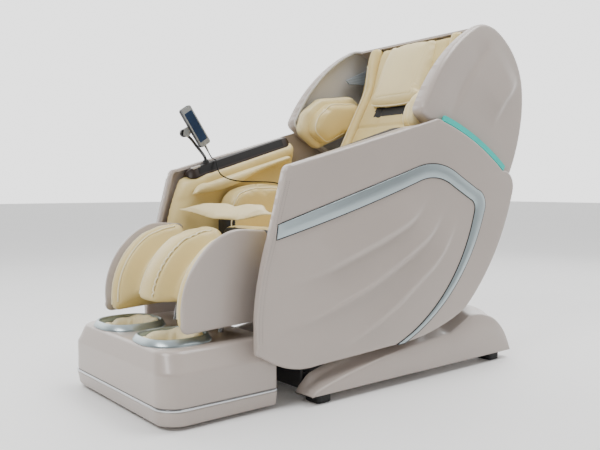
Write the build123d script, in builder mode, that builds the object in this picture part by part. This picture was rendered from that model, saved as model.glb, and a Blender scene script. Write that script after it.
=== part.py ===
from build123d import *
import os
from math import cos, radians, sin, sqrt, tan

# Massage chair. Millimetres, +Z up, the sitter faces -Y, the origin is the centre of the footprint
# on the floor. Outlines of the side parts are drawn in the (Y, Z) plane and carried across X.

os.makedirs("parts", exist_ok=True)

# ---- driving dimensions ----
LENGTH = 1650.0  # front of the foot box to the back of the hood
WIDTH = 850.0  # across the silver trims on the two side shells
FRONT = -LENGTH / 2
REAR = LENGTH / 2
TOP = 1352.0  # where the two arcs of the hood's top meet their highest line

TRIM_PROUD = 3.0
SHELL_HALF = WIDTH / 2 - TRIM_PROUD
SHELL_WALL = 12.0
FLANGE_INNER = 353.0  # the shell's return edge reaches in to here
BOW_RADIUS = 9500.0  # the side shells bow outward in plan
BOW_AT = 450.0
HOOD_HALF = 402.0
HOOD_WALL = 10.0
ARM_INNER = 296.0
ARM_OUTER = 352.0
CALF_HALF = 280.0
FOOT_HALF = 348.0

# hinge centres as (Y, Z)
TILT_PIVOT = (480.0, 200.0)  # seat assembly on the base
RECLINE_PIVOT = (260.0, 430.0)  # back on the seat frame
LEG_PIVOT = (-415.0, 505.0)  # leg rest on the seat frame
PLATE_IN = 230.0  # inner face of the seat frame's side plates
PLATE_THICK = 8.0
PIN_GAP = 0.05  # running clearance on a pin's radius
SIDES = (("left", 1), ("right", -1))

# the back's own plane: origin at the bottom of its front face, Y up the back, Z forward
BACK_LEAN = 30.0
BACK_FOOT = (165.0, 500.0)


def save(piece, name):
    """Label a finished piece and write it."""
    piece.part.label = name
    export_step(piece.part, f"parts/{name}.step")


def outline(points, start):
    """A closed straight-sided outline in (Y, Z), on the plane X = start."""
    with BuildSketch(Plane.YZ.offset(start)) as face:
        with BuildLine():
            Polyline(*points, close=True)
        make_face()
    return face.sketch


def slab(points, side, inner, outer, mode=Mode.ADD):
    """Carry an outline in (Y, Z) from |X| = inner to |X| = outer on one side."""
    extrude(outline(points, side * inner), amount=side * (outer - inner), mode=mode)


def bar(points, half, mode=Mode.ADD):
    """Carry an outline in (Y, Z) from -half to +half."""
    extrude(outline(points, -half), amount=2 * half, mode=mode)


def pin_x(centre, radius, start, end, mode=Mode.ADD):
    """A cylinder along X from start to end, centred on (Y, Z)."""
    with BuildSketch(Plane.YZ.offset(start)) as disc:
        with Locations(centre):
            Circle(radius)
    extrude(disc.sketch, amount=end - start, mode=mode)


def bow(y, proud=0.0):
    """Half width of the side shell at y, with an offset square to its surface."""
    return SHELL_HALF - BOW_RADIUS + sqrt((BOW_RADIUS + proud) ** 2 - (y - BOW_AT) ** 2)


def bow_region(side, inner, proud):
    """The plan from |X| = inner out to the bowed surface."""
    rear, middle, front = 900.0, 0.0, -540.0
    with BuildSketch(Plane.XY) as plan:
        with BuildLine():
            ThreePointArc(
                (side * bow(front, proud), front),
                (side * bow(middle, proud), middle),
                (side * bow(rear, proud), rear),
            )
            Line((side * bow(rear, proud), rear), (side * inner, rear))
            Line((side * inner, rear), (side * inner, front))
            Line((side * inner, front), (side * bow(front, proud), front))
        make_face()
    return plan.sketch


def shell_face(start, inset=0.0):
    """Outline of a side shell."""
    with BuildSketch(Plane.YZ.offset(start)) as face:
        with BuildLine():
            Line((-523, 189), (-523, 300))
            ThreePointArc((-523, 300), (-506, 424), (-473, 545))
            Line((-473, 545), (-416, 752))
            ThreePointArc((-416, 752), (-406, 768), (-388, 774))
            Line((-388, 774), (248, 950))
            ThreePointArc((248, 950), (271, 953), (291, 946))
            ThreePointArc((291, 946), (486, 874), (664, 770))
            ThreePointArc((664, 770), (731, 738), (738, 692))
            ThreePointArc((738, 692), (620, 445), (433, 240))
            ThreePointArc((433, 240), (250, 174), (33, 146))
            Line((33, 146), (-292, 124))
            ThreePointArc((-292, 124), (-395, 128), (-474, 162))
            Line((-474, 162), (-523, 189))
        make_face()
        if inset:
            offset(amount=-inset)
    return face.sketch


# ================================================================ base

BEAM_IN, BEAM_OUT = 270.0, 310.0
BEAM_LOW, BEAM_HIGH = 38.0, 86.0
TILT_FOOT = (60.0, 62.0)  # lower pin of the tilt actuator
WELD_GAP = 0.2

with BuildPart() as base_frame:
    for side in (1, -1):
        slab(
            [(-288, BEAM_LOW), (712, BEAM_LOW), (712, BEAM_HIGH), (-288, BEAM_HIGH)],
            side, BEAM_IN, BEAM_OUT,
        )
        slab(
            [(430, 60), (530, 60), (508, 216), (492, 230), (468, 230), (452, 216)],
            side, 246, BEAM_IN,
        )
        pin_x(TILT_PIVOT, 12, side * 226, side * BEAM_IN)
    for y in (-270.0, 300.0, 660.0):
        bar(
            [(y, BEAM_LOW), (y + 40, BEAM_LOW), (y + 40, BEAM_HIGH), (y, BEAM_HIGH)],
            BEAM_IN - WELD_GAP,
        )
    pin_x(TILT_FOOT, 8, -(BEAM_IN - WELD_GAP), BEAM_IN - WELD_GAP)
save(base_frame, "base_frame")


def cover_face(start, lift):
    """Side outline of a base cover, with its top raised by lift."""
    with BuildSketch(Plane.YZ.offset(start)) as face:
        with BuildLine():
            Line((741, 30), (-333, 30))
            Line((-333, 30), (-316, 46 + lift))
            ThreePointArc((-316, 46 + lift), (-214, 74 + lift), (-100, 97 + lift))
            ThreePointArc((-100, 97 + lift), (125, 131 + lift), (352, 150 + lift))
            ThreePointArc((352, 150 + lift), (415, 174 + lift), (476, 203 + lift))
            ThreePointArc((476, 203 + lift), (560, 199 + lift), (634, 174 + lift))
            ThreePointArc((634, 174 + lift), (697, 118 + lift), (741, 30))
        make_face()
    return face.sketch


COVER_IN, COVER_STEP, COVER_EASE, COVER_OUT = 318.0, 344.0, 402.0, 410.0

for side_name, side in SIDES:
    with BuildPart() as base_cover:
        extrude(cover_face(side * COVER_IN, 26.0), amount=side * (COVER_STEP - COVER_IN))
        extrude(cover_face(side * COVER_STEP, 0.0), amount=side * (COVER_EASE - COVER_STEP))
        extrude(cover_face(side * COVER_EASE, -6.0), amount=side * (COVER_OUT - COVER_EASE))
    save(base_cover, f"base_cover_{side_name}")

with BuildPart() as base_feet:
    for x in (-362.0, 362.0):
        for y in (-268.0, 652.0):
            with BuildSketch(Plane.XY):
                with Locations((x, y)):
                    RectangleRounded(72, 62, 14)
            extrude(amount=29.8)
    chamfer(base_feet.edges().group_by(Axis.Z)[0], length=3)
save(base_feet, "base_feet")

with BuildPart() as base_front_panel:
    bar([(-306, 36), (-298, 36), (-298, 118), (-318, 112), (-318, 104), (-306, 98)], COVER_IN - 1)
save(base_front_panel, "base_front_panel")

with BuildPart() as power_box:
    bar([(664, 87), (736, 87), (736, 146), (722, 156), (664, 156)], 90)
    with BuildSketch(Plane((-52, 736, 120), x_dir=(-1, 0, 0), z_dir=(0, 1, 0))):
        RectangleRounded(30, 22, 3)
    extrude(amount=-24, mode=Mode.SUBTRACT)
    with BuildSketch(Plane((38, 736, 120), x_dir=(-1, 0, 0), z_dir=(0, 1, 0))):
        RectangleRounded(32, 20, 3)
    extrude(amount=5)
save(power_box, "power_box")

# ================================================================ seat assembly

SEAT_ROD = (150.0, 275.0)  # rod of the seat frame that the tilt actuator lifts
RECLINE_ROD = (0.0, 360.0)  # fixed pin of the recline actuator
LEG_ROD = (-160.0, 345.0)  # fixed pin of the leg actuator
TUBE_HALF = PLATE_IN - WELD_GAP

with BuildPart() as seat_frame:
    for side in (1, -1):
        slab(
            [
                (480, 166), (512, 184), (514, 214), (440, 330), (296, 448), (262, 466), (226, 458),
                (150, 412), (-300, 472), (-404, 532), (-436, 524), (-444, 498), (-424, 478),
                (-290, 396), (60, 330), (120, 258), (170, 252), (300, 276), (436, 176),
            ],
            side, PLATE_IN, PLATE_IN + PLATE_THICK,
        )
        reach = side * (PLATE_IN + PLATE_THICK)
        pin_x(TILT_PIVOT, 12 + PIN_GAP, side * PLATE_IN, reach, Mode.SUBTRACT)
        pin_x(RECLINE_PIVOT, 14 + PIN_GAP, side * PLATE_IN, reach, Mode.SUBTRACT)
        pin_x(LEG_PIVOT, 10 + PIN_GAP, side * PLATE_IN, reach, Mode.SUBTRACT)
        for y in (-215.0, 60.0):
            slab(
                [(y, 400), (y + 34, 400), (y + 34, 436), (y, 436)],
                side, PLATE_IN + PLATE_THICK + WELD_GAP, FLANGE_INNER - 1,
            )
    for rod in (SEAT_ROD, RECLINE_ROD, LEG_ROD):
        pin_x(rod, 8, -TUBE_HALF, TUBE_HALF)
    for tube in ((-262.0, 447.0), (60.0, 408.0), (400.0, 280.0)):
        pin_x(tube, 15, -TUBE_HALF, TUBE_HALF)
save(seat_frame, "seat_frame")

with BuildPart() as seat_pan:
    bar([(-300, 473), (-300, 485), (150, 425), (150, 413)], 228)
save(seat_pan, "seat_pan")

SEAT_HALF = 186.0

with BuildPart() as seat_pad:
    bar(
        [(-302, 486), (-302, 532), (-286, 550), (-250, 556), (108, 516), (146, 492), (150, 426)],
        SEAT_HALF,
    )
    fillet(seat_pad.faces().sort_by(Axis.Z)[-1].edges().filter_by(Axis.X, reverse=True), radius=18)
save(seat_pad, "seat_pad")

with BuildPart() as seat_flap:
    with BuildSketch(Plane.XZ.offset(350)):
        with BuildLine():
            Line((0, 556), (-290, 592))
            ThreePointArc((-290, 592), (-205, 626), (-110, 634))
            ThreePointArc((-110, 634), (0, 628), (110, 634))
            ThreePointArc((110, 634), (205, 626), (290, 592))
            Line((290, 592), (0, 556))
        make_face()
    extrude(amount=-42)
save(seat_flap, "seat_flap")

for side_name, side in SIDES:
    start = side * (FLANGE_INNER - 20)
    with BuildPart() as pocket:
        extrude(shell_face(start, 10), amount=side * 120)
        slab(
            [(150, 100), (900, 100), (900, 1000), (150, 1000)],
            side, FLANGE_INNER - 20, WIDTH / 2 + 20,
        )
        extrude(bow_region(side, FLANGE_INNER - 30, -SHELL_WALL), amount=1100, mode=Mode.INTERSECT)
    with BuildPart() as side_shell:
        extrude(shell_face(side * FLANGE_INNER), amount=side * 100)
        extrude(bow_region(side, FLANGE_INNER, 0.0), amount=1100, mode=Mode.INTERSECT)
        add(pocket.part, mode=Mode.SUBTRACT)
    save(side_shell, f"side_shell_{side_name}")


def trim_face(start):
    """The silver boomerang on a side shell, thick at the elbow and thin at its lower end."""
    with BuildSketch(Plane.YZ.offset(start)) as face:
        with BuildLine():
            Line((-473, 534), (-466, 580))
            ThreePointArc((-466, 580), (-167, 674), (150, 773))
            ThreePointArc((150, 773), (265, 785), (375, 749))
            Line((375, 749), (490, 693))
            ThreePointArc((490, 693), (537, 652), (532, 606))
            ThreePointArc((532, 606), (353, 323), (89, 150))
            Line((89, 150), (58, 149))
            ThreePointArc((58, 149), (322, 330), (475, 610))
            ThreePointArc((475, 610), (475, 634), (449, 658))
            Line((449, 658), (346, 708))
            ThreePointArc((346, 708), (252, 738), (160, 726))
            ThreePointArc((160, 726), (-152, 626), (-473, 534))
        make_face()
    return face.sketch


with BuildPart() as shell_trims:
    for side in (1, -1):
        extrude(trim_face(side * 360), amount=side * 90)
    for side in (1, -1):
        with BuildPart(mode=Mode.PRIVATE) as under:
            extrude(bow_region(side, 300, 0.0), amount=1100)
        with BuildPart(mode=Mode.PRIVATE) as beyond:
            extrude(bow_region(side, 300, 100.0), amount=1100)
            extrude(bow_region(side, 290, TRIM_PROUD), amount=1100, mode=Mode.SUBTRACT)
        add(under.part, mode=Mode.SUBTRACT)
        add(beyond.part, mode=Mode.SUBTRACT)
save(shell_trims, "shell_trims")


def led_face(start):
    """The light strip along a side shell's rear top edge."""
    with BuildSketch(Plane.YZ.offset(start)) as face:
        with BuildLine():
            ThreePointArc((291.3, 946.4), (486.3, 874.4), (664.2, 770.4))
            Line((664.2, 770.4), (674, 788))
            ThreePointArc((674, 788), (494, 894), (299, 966))
            Line((299, 966), (291.3, 946.4))
        make_face()
    return face.sketch


with BuildPart() as led_strips:
    for side in (1, -1):
        extrude(led_face(side * (HOOD_HALF + 5)), amount=side * 12)
save(led_strips, "led_strips")

with BuildPart() as seat_rear_cover:
    with BuildSketch(Plane.YZ.offset(-345)):
        with BuildLine():
            ThreePointArc((506, 302), (606, 422), (684, 575))
            Line((684, 575), (674, 579))
            ThreePointArc((674, 579), (598, 428), (499, 309))
            Line((499, 309), (506, 302))
        make_face()
    extrude(amount=690)
save(seat_rear_cover, "seat_rear_cover")

with BuildPart() as air_pump:
    bar([(-170, 118), (-20, 118), (-20, 210), (-170, 210)], 80)
    fillet(air_pump.edges().filter_by(Axis.X), radius=10)
    with BuildSketch(Plane.XY.offset(210)):
        with Locations((-40, -60), (0, -60), (40, -60)):
            Circle(7)
    extrude(amount=16)
save(air_pump, "air_pump")

with BuildPart() as control_box:
    bar([(330, 92), (420, 92), (420, 150), (330, 150)], 120)
    fillet(control_box.edges().filter_by(Axis.X), radius=6)
save(control_box, "control_box")

# ---------------------------------------------------------------- armrests

ARM_RISE = 0.306  # slope of the armrest's top, up towards the back
ARM_FRONT = (-385.0, 738.0)


def arm_top_at(y, above=0.0):
    """A point on the line where the dark insert sits on the arm pad."""
    return (y, ARM_FRONT[1] + ARM_RISE * (y - ARM_FRONT[0]) + above)


for side_name, side in SIDES:
    with BuildPart() as arm_pad:
        slab(
            [
                (-494, 446), (-462, 600), (-408, 734), ARM_FRONT,
                arm_top_at(150), (168, 880), (150, 446),
            ],
            side, ARM_INNER, ARM_OUTER,
        )
        fillet(arm_pad.edges().filter_by(Axis.X).sort_by(Axis.Y)[:3], radius=9)
    save(arm_pad, f"arm_pad_{side_name}")

KEY_AT = -318.0
KEY_SIZE = (20.0, 42.0)
arm_slope = Plane(
    (-326, KEY_AT, ARM_FRONT[1] + ARM_RISE * (KEY_AT - ARM_FRONT[0]) + 24),
    x_dir=(1, 0, 0),
    z_dir=(0, -ARM_RISE, 1),
)

with BuildPart() as arm_tops:
    for side in (1, -1):
        slab(
            [
                ARM_FRONT, (-392, 746), (-372, 762),
                arm_top_at(-330, 24), arm_top_at(150, 24), arm_top_at(150),
            ],
            side, ARM_INNER + 4, ARM_OUTER,
        )
    with BuildSketch(arm_slope):
        RectangleRounded(KEY_SIZE[0] + 1, KEY_SIZE[1] + 1, 9)
    extrude(amount=-12, mode=Mode.SUBTRACT)
save(arm_tops, "arm_tops")

with BuildPart() as arm_key:
    with BuildSketch(arm_slope.offset(-8)):
        RectangleRounded(KEY_SIZE[0], KEY_SIZE[1], 8.5)
    extrude(amount=10.5)
    fillet(arm_key.faces().sort_by(Axis.Z)[-1].edges(), radius=1.5)
save(arm_key, "arm_key")

for side_name, side in SIDES:
    with BuildPart() as arm_flap:
        slab(
            [
                (-352, 676), (-334, 700), (-290, 720), (112, 834),
                (126, 814), (-30, 766), (-200, 698), (-300, 678),
            ],
            side, 237, ARM_INNER - 1,
        )
    save(arm_flap, f"arm_flap_{side_name}")
    with BuildPart() as hip_cushion:
        slab(
            [
                (-290, 486), (-286, 640), (-244, 678), (-200, 693), (-150, 711),
                (-60, 719), (26, 712), (44, 660), (60, 438),
            ],
            side, SEAT_HALF + 4, ARM_INNER - 8,
        )
        inner_face = hip_cushion.faces().sort_by(Axis.X)[0 if side > 0 else -1]
        fillet(inner_face.edges().sort_by(Axis.Z)[-3:], radius=16)
    save(hip_cushion, f"hip_cushion_{side_name}")

# ---------------------------------------------------------------- remote and its arm


def bend_radii(points):
    """The largest arc at each corner that its two straight runs leave room for."""
    radii = []
    for before, at, after in zip(points, points[1:], points[2:]):
        run_in = Vector(*at) - Vector(*before)
        run_out = Vector(*after) - Vector(*at)
        shorter = min(run_in.length, run_out.length)
        radii.append(0.45 * shorter / tan(radians(run_in.get_angle(run_out)) / 2))
    return radii


REMOTE_PIVOT = (-341.0, 918.0)
REMOTE_BACK = -368.0  # X of the remote's back face; its screen faces +X
REMOTE_THICK = 22.0
NECK_X = -377.0

neck_points = [
    (-338, -262, 803), (-343, -264, 824), (-362, -270, 846), (NECK_X, -282, 868),
    (NECK_X, -306, 896), (NECK_X, -330, 914),
]
with BuildPart() as gooseneck:
    with BuildLine() as neck_line:
        FilletPolyline(*neck_points, radius=bend_radii(neck_points))
    neck_run = neck_line.wire()
    with BuildSketch(Plane(neck_run @ 0, z_dir=neck_run % 0)):
        Circle(6)
    sweep(path=neck_run)
    pin_x(REMOTE_PIVOT, 16, NECK_X - 5, NECK_X + 7)
    pin_x(REMOTE_PIVOT, 6 + PIN_GAP, NECK_X - 8, NECK_X + 8, Mode.SUBTRACT)
    with BuildSketch(
        Plane((-338, -262, arm_top_at(-262, 25)[1]), x_dir=(1, 0, 0), z_dir=(0, -ARM_RISE, 1))
    ):
        Circle(13)
    extrude(amount=13, taper=12)
save(gooseneck, "gooseneck")

RELIEF_TOP = (-357.0, -256.0, 874.0)
RELIEF_END = (-354.0, -241.75, 847.0)  # the cable leaves the remote here
REMOTE_LEAN = 34.0  # the top of the remote leans forward
remote_up = (0.0, -sin(radians(REMOTE_LEAN)), cos(radians(REMOTE_LEAN)))
remote_across = (0.0, cos(radians(REMOTE_LEAN)), sin(radians(REMOTE_LEAN)))
REMOTE_CENTRE = (-303.0, 945.0)
remote_plane = Plane((REMOTE_BACK, *REMOTE_CENTRE), x_dir=remote_across, z_dir=(1, 0, 0))

with BuildPart() as remote_body:
    with BuildSketch(remote_plane):
        RectangleRounded(50, 172, 9)
    extrude(amount=REMOTE_THICK)
    fillet(remote_body.faces().sort_by(Axis.X)[0].edges(), radius=5)
    with BuildSketch(remote_plane.offset(REMOTE_THICK)):
        RectangleRounded(38.6, 130.6, 2.3)
    extrude(amount=-1.5, mode=Mode.SUBTRACT)
    # clamp arm and pivot pin that carry the remote on the gooseneck's eye
    slab([(-352, 908), (-330, 902), (-306, 928), (-318, 950), (-348, 934)], -1, 362, -REMOTE_BACK + 0.5)
    pin_x(REMOTE_PIVOT, 6, NECK_X - 4, -362)
    # strain relief at the lower end
    relief_run = Vector(*RELIEF_END) - Vector(*RELIEF_TOP)
    with BuildSketch(Plane(RELIEF_TOP, z_dir=relief_run)):
        Circle(5)
    extrude(amount=relief_run.length, taper=3)
save(remote_body, "remote_body")

with BuildPart() as remote_screen:
    with BuildSketch(remote_plane.offset(REMOTE_THICK - 1.5)):
        RectangleRounded(38, 130, 2)
    extrude(amount=1.7)
save(remote_screen, "remote_screen")

with BuildPart() as cable_socket:
    with BuildSketch(Plane((-ARM_INNER, 118, 672), z_dir=(1, 0, 0))):
        Circle(13)
    extrude(amount=8)
    with BuildSketch(Plane((-ARM_INNER + 8, 118, 672), z_dir=(1, 0, 0))):
        Circle(7)
    extrude(amount=16, taper=4)
save(cable_socket, "cable_socket")

CABLE_DIAMETER = 5.0
cable_points = [
    RELIEF_END, (-352.5, -234.625, 833.5), (-345, -231, 822), (-327, -231, 816), (-308, -237, 815),
    (-292, -244, 806), (-281, -248, 789), (-270, -249, 770), (-256, -246, 753), (-240, -237, 742),
    (-224, -220, 733), (-213, -190, 727), (-210, -145, 725), (-211, -95, 725), (-215, -45, 725),
    (-222, 0, 722), (-229, 38, 713), (-234, 72, 698), (-239, 102, 680), (-250, 118, 672),
    (-272, 118, 672),
]
cable_radii = bend_radii(cable_points)
with BuildPart() as remote_cable:
    with BuildLine() as cable_line:
        FilletPolyline(*cable_points, radius=cable_radii)
    cable_run = cable_line.wire()
    with BuildSketch(Plane(cable_run @ 0, z_dir=cable_run % 0)):
        Circle(CABLE_DIAMETER / 2)
    sweep(path=cable_run)
save(remote_cable, "remote_cable")
print("cable length", round(cable_run.length), "radii", [round(r) for r in cable_radii])
print("tube volume over section times length",
      round(remote_cable.part.volume / (cable_run.length * 3.14159 * CABLE_DIAMETER**2 / 4), 3))

# ================================================================ linear actuators


def unit(start, end):
    """Length and unit direction from one (Y, Z) point to another."""
    run = sqrt((end[0] - start[0]) ** 2 + (end[1] - start[1]) ** 2)
    return run, ((end[0] - start[0]) / run, (end[1] - start[1]) / run)


def along(start, direction, distance, rise=0.0):
    """A (Y, Z) point at a distance along a direction and rise square to it."""
    return (
        start[0] + direction[0] * distance - direction[1] * rise,
        start[1] + direction[1] * distance + direction[0] * rise,
    )


def strip(start, direction, first, last, half):
    """A straight bar's outline from first to last along a direction."""
    return [
        along(start, direction, first, -half),
        along(start, direction, last, -half),
        along(start, direction, last, half),
        along(start, direction, first, half),
    ]


def actuator(name, fixed, moving, barrel, x, rod_start, eye_gap, retract=4.0):
    """A cylinder on its fixed pin and a rod whose eye hangs round the pin it drives."""
    run, direction = unit(fixed, moving)
    axis = (0, *direction)
    with BuildPart() as cylinder:
        pin_x(fixed, 18, x - 14, x + 14)
        with BuildSketch(Plane((x, *along(fixed, direction, 10)), z_dir=axis)):
            Circle(21)
        extrude(amount=barrel - 10)
        slab(strip(fixed, direction, 26, 96, 20), 1, x + 12, x + 62)
        pin_x(fixed, 8 + PIN_GAP, x - 14, x + 14, Mode.SUBTRACT)
        with BuildSketch(Plane((x, *along(fixed, direction, rod_start - retract)), z_dir=axis)):
            Circle(9 + PIN_GAP)
        extrude(amount=barrel, mode=Mode.SUBTRACT)
    save(cylinder, f"{name}_cylinder")
    with BuildPart() as rod:
        with BuildSketch(Plane((x, *along(fixed, direction, rod_start)), z_dir=axis)):
            Circle(9)
        extrude(amount=run - rod_start)
        pin_x(moving, 15 + eye_gap, x - 11, x + 11)
        pin_x(moving, 8 + eye_gap, x - 12, x + 12, Mode.SUBTRACT)
    save(rod, f"{name}_rod")


BACK_ROD = (338.0, 385.0)  # rod of the back frame that the recline actuator pulls
LEG_BAR = (-445.0, 453.0)  # rod of the leg frame that the leg actuator pushes

actuator("tilt", TILT_FOOT, SEAT_ROD, 188, 40, 44, 5.5)
actuator("recline", RECLINE_ROD, BACK_ROD, 240, -110, 120, 3.0, retract=40.0)
actuator("leg", LEG_ROD, LEG_BAR, 236, 110, 120, 10.0)

# ================================================================ back assembly

lean = radians(BACK_LEAN)
back_up = (sin(lean), cos(lean))
back_front = (-cos(lean), sin(lean))


def back_at(up, depth):
    """A (Y, Z) point up the back and depth behind its front face."""
    return (
        BACK_FOOT[0] + back_up[0] * up - back_front[0] * depth,
        BACK_FOOT[1] + back_up[1] * up - back_front[1] * depth,
    )


def back_strip(low, high, near, far):
    """A bar's outline running up the back between two depths."""
    return [back_at(low, near), back_at(high, near), back_at(high, far), back_at(low, far)]


RAIL_IN, RAIL_OUT = 205.0, 228.0
RAIL_NEAR, RAIL_FAR = 92.0, 122.0

with BuildPart() as back_frame:
    for side in (1, -1):
        slab(back_strip(-32, 900, RAIL_NEAR, RAIL_FAR), side, RAIL_IN, RAIL_OUT)
        pin_x(RECLINE_PIVOT, 26, side * RAIL_IN, side * RAIL_OUT)
        pin_x(RECLINE_PIVOT, 14, side * RAIL_OUT, side * (PLATE_IN + PLATE_THICK + 4))
        slab([(250, 410), (334, 368), (352, 382), (345, 400), (276, 450)], side, RAIL_IN, RAIL_OUT)
        slab(back_strip(560, 590, RAIL_NEAR, RAIL_FAR), side, RAIL_OUT + WELD_GAP, 374)
        slab(back_strip(800, 830, RAIL_NEAR, RAIL_FAR), side, RAIL_OUT + WELD_GAP, 352)
    pin_x(BACK_ROD, 8, -(RAIL_IN - WELD_GAP), RAIL_IN - WELD_GAP)
    bar(back_strip(866, 890, 96, 118), RAIL_IN - WELD_GAP)
    bar(back_strip(30, 50, 112, 122), RAIL_IN - WELD_GAP)
save(back_frame, "back_frame")

HOOD_TIP = (198.0, 996.0)


def hood_face(start, inset=0.0):
    """Outline of a hood half, down to the part that stays inside the side shell."""
    with BuildSketch(Plane.YZ.offset(start)) as face:
        with BuildLine():
            ThreePointArc((212, 962), (199, 978), HOOD_TIP)
            ThreePointArc(HOOD_TIP, (345, 1196), (528, 1329))
            ThreePointArc((528, 1329), (598, TOP - 1), (664, 1342))
            ThreePointArc((664, 1342), (786, 1238), (REAR, 1098))
            ThreePointArc((REAR, 1098), (801, 910), (709, 712))
            Line((709, 712), (664, 694))
            ThreePointArc((664, 694), (478, 822), (282, 912))
            Line((282, 912), (212, 962))
        make_face()
        if inset:
            offset(amount=-inset)
    return face.sketch


def hood_region(side, inner, inset):
    """The hood's cross-section in (X, Z): upright at its foot and leaning in at its top."""
    outer = HOOD_HALF - inset
    with BuildSketch(Plane.XZ.offset(-900)) as face:
        with BuildLine():
            Line((side * inner, 600), (side * outer, 600))
            Line((side * outer, 600), (side * outer, 1000))
            ThreePointArc(
                (side * outer, 1000), (side * (outer - 9), 1180), (side * (outer - 34), 1400)
            )
            Line((side * (outer - 34), 1400), (side * inner, 1400))
            Line((side * inner, 1400), (side * inner, 600))
        make_face()
    return face.sketch


HOOD_RIM_IN = 345.0

for side_name, side in SIDES:
    with BuildPart() as hollow:
        extrude(hood_face(side * (HOOD_RIM_IN - 10), 12), amount=side * 100)
        slab([(150, 600), (740, 600), (640, 820), (300, 940), (230, 1000)], side, HOOD_RIM_IN - 10, 450)
        extrude(hood_region(side, HOOD_RIM_IN - 20, HOOD_WALL), amount=900, mode=Mode.INTERSECT)
    with BuildPart() as hood:
        extrude(hood_face(side * HOOD_RIM_IN), amount=side * 80)
        extrude(hood_region(side, HOOD_RIM_IN, 0.0), amount=900, mode=Mode.INTERSECT)
        add(hollow.part, mode=Mode.SUBTRACT)
    save(hood, f"hood_{side_name}")

with BuildPart() as back_cover:
    with BuildSketch(Plane.YZ.offset(-(HOOD_RIM_IN - 0.5))):
        with BuildLine():
            ThreePointArc((610, 1350), (778, 1248), (REAR - 1, 1098))
            ThreePointArc((REAR - 1, 1098), (798, 890), (694, 652))
            Line((694, 652), (685, 656))
            ThreePointArc((685, 656), (788, 893), (REAR - 12, 1098))
            ThreePointArc((REAR - 12, 1098), (769, 1241), (606, 1340))
            Line((606, 1340), (610, 1350))
        make_face()
    extrude(amount=2 * HOOD_RIM_IN - 1)
save(back_cover, "back_cover")

with BuildPart() as back_pad:
    bar(
        [
            back_at(16, 8), back_at(60, 0), back_at(925, 0),
            back_at(950, 20), back_at(950, 42), back_at(16, 42),
        ],
        204,
    )
    for side in (1, -1):
        slab(
            [
                back_at(30, 42), back_at(60, -30), back_at(330, -46),
                back_at(420, -14), back_at(420, 42),
            ],
            side, 204, 282,
        )
        slab([back_at(420, 4), back_at(950, 4), back_at(950, 42), back_at(420, 42)], side, 204, 262)
save(back_pad, "back_pad")

with BuildPart() as head_pillow:
    bar(
        [
            back_at(628, -0.5), back_at(632, -34), back_at(662, -52),
            back_at(860, -46), back_at(944, -22), back_at(952, -0.5),
        ],
        148,
    )
    fillet(head_pillow.edges().filter_by(Axis.X).sort_by(Axis.Z)[1:3], radius=10)
save(head_pillow, "head_pillow")

for side_name, side in SIDES:
    with BuildPart() as shoulder_pad:
        slab(
            [
                (216, 930), (200, 968), (222, 1034), (318, 1104),
                (500, 1118), (560, 1078), (470, 940), (300, 872),
            ],
            side, 330, 344,
        )
        slab(
            [
                (248, 934), (236, 966), (256, 1020), (334, 1080),
                (486, 1092), (530, 1062), (452, 950), (310, 892),
            ],
            side, 268, 330,
        )
        fillet(shoulder_pad.edges().filter_by(Axis.X).sort_by(Axis.Y)[:3], radius=10)
    save(shoulder_pad, f"shoulder_pad_{side_name}")

with BuildPart() as speakers:
    for side in (1, -1):
        slab([(520, 1206), (540, 1190), (662, 1196), (690, 1216), (722, 1274), (708, 1288)], side, 352, 362)
        slab([(552, 1206), (652, 1211), (696, 1268), (640, 1238)], side, 362, 370)
save(speakers, "speakers")

# ---------------------------------------------------------------- massage mechanism

CARRIAGE_UP = 400.0  # where the carriage stands at rest, up the back


def carriage_at(up, depth):
    """A (Y, Z) point measured from the carriage's own middle."""
    return back_at(CARRIAGE_UP + up, depth)


ARM_AXLE = carriage_at(0, 110)
UPPER_ROLLER = carriage_at(105, 79)
LOWER_ROLLER = carriage_at(-105, 79)
ROLLER_RADIUS = 26.0

with BuildPart() as massage_carriage:
    bar([carriage_at(-90, 128), carriage_at(90, 128), carriage_at(90, 140), carriage_at(-90, 140)], 196)
    bar([carriage_at(-60, 140), carriage_at(60, 140), carriage_at(60, 184), carriage_at(-60, 184)], 70)
    for side in (1, -1):
        slab(
            [carriage_at(-70, 96), carriage_at(70, 96), carriage_at(70, 128), carriage_at(-70, 128)],
            side, 188, 196,
        )
        for up in (-55.0, 55.0):
            pin_x(carriage_at(up, 107), 8, side * 196, side * (RAIL_IN - 0.4))
        pin_x(ARM_AXLE, 10, side * 100, side * 188)
save(massage_carriage, "massage_carriage")

with BuildPart() as massage_arms:
    for side in (1, -1):
        slab(
            [
                carriage_at(-14, 126), carriage_at(14, 126), carriage_at(118, 92), carriage_at(118, 72),
                carriage_at(98, 67), carriage_at(20, 94), carriage_at(-20, 94), carriage_at(-98, 67),
                carriage_at(-118, 72), carriage_at(-118, 92),
            ],
            side, 84, 98,
        )
        slab(
            [carriage_at(-16, 94), carriage_at(16, 94), carriage_at(16, 126), carriage_at(-16, 126)],
            side, 98, 130,
        )
        pin_x(ARM_AXLE, 10 + PIN_GAP, side * 84, side * 131, Mode.SUBTRACT)
    for centre in (UPPER_ROLLER, LOWER_ROLLER):
        pin_x(centre, 6, -84, 84)
save(massage_arms, "massage_arms")

for name, centre in (("upper_rollers", UPPER_ROLLER), ("lower_rollers", LOWER_ROLLER)):
    with BuildPart() as rollers:
        for side in (1, -1):
            pin_x(centre, ROLLER_RADIUS, side * 46, side * 82)
        pin_x(centre, 12, -46, 46)
        pin_x(centre, 6 + PIN_GAP, -83, 83, Mode.SUBTRACT)
        fillet(rollers.edges().filter_by(GeomType.CIRCLE).filter_by(
            lambda edge: abs(edge.radius - ROLLER_RADIUS) < 0.01), radius=9)
    save(rollers, name)

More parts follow.
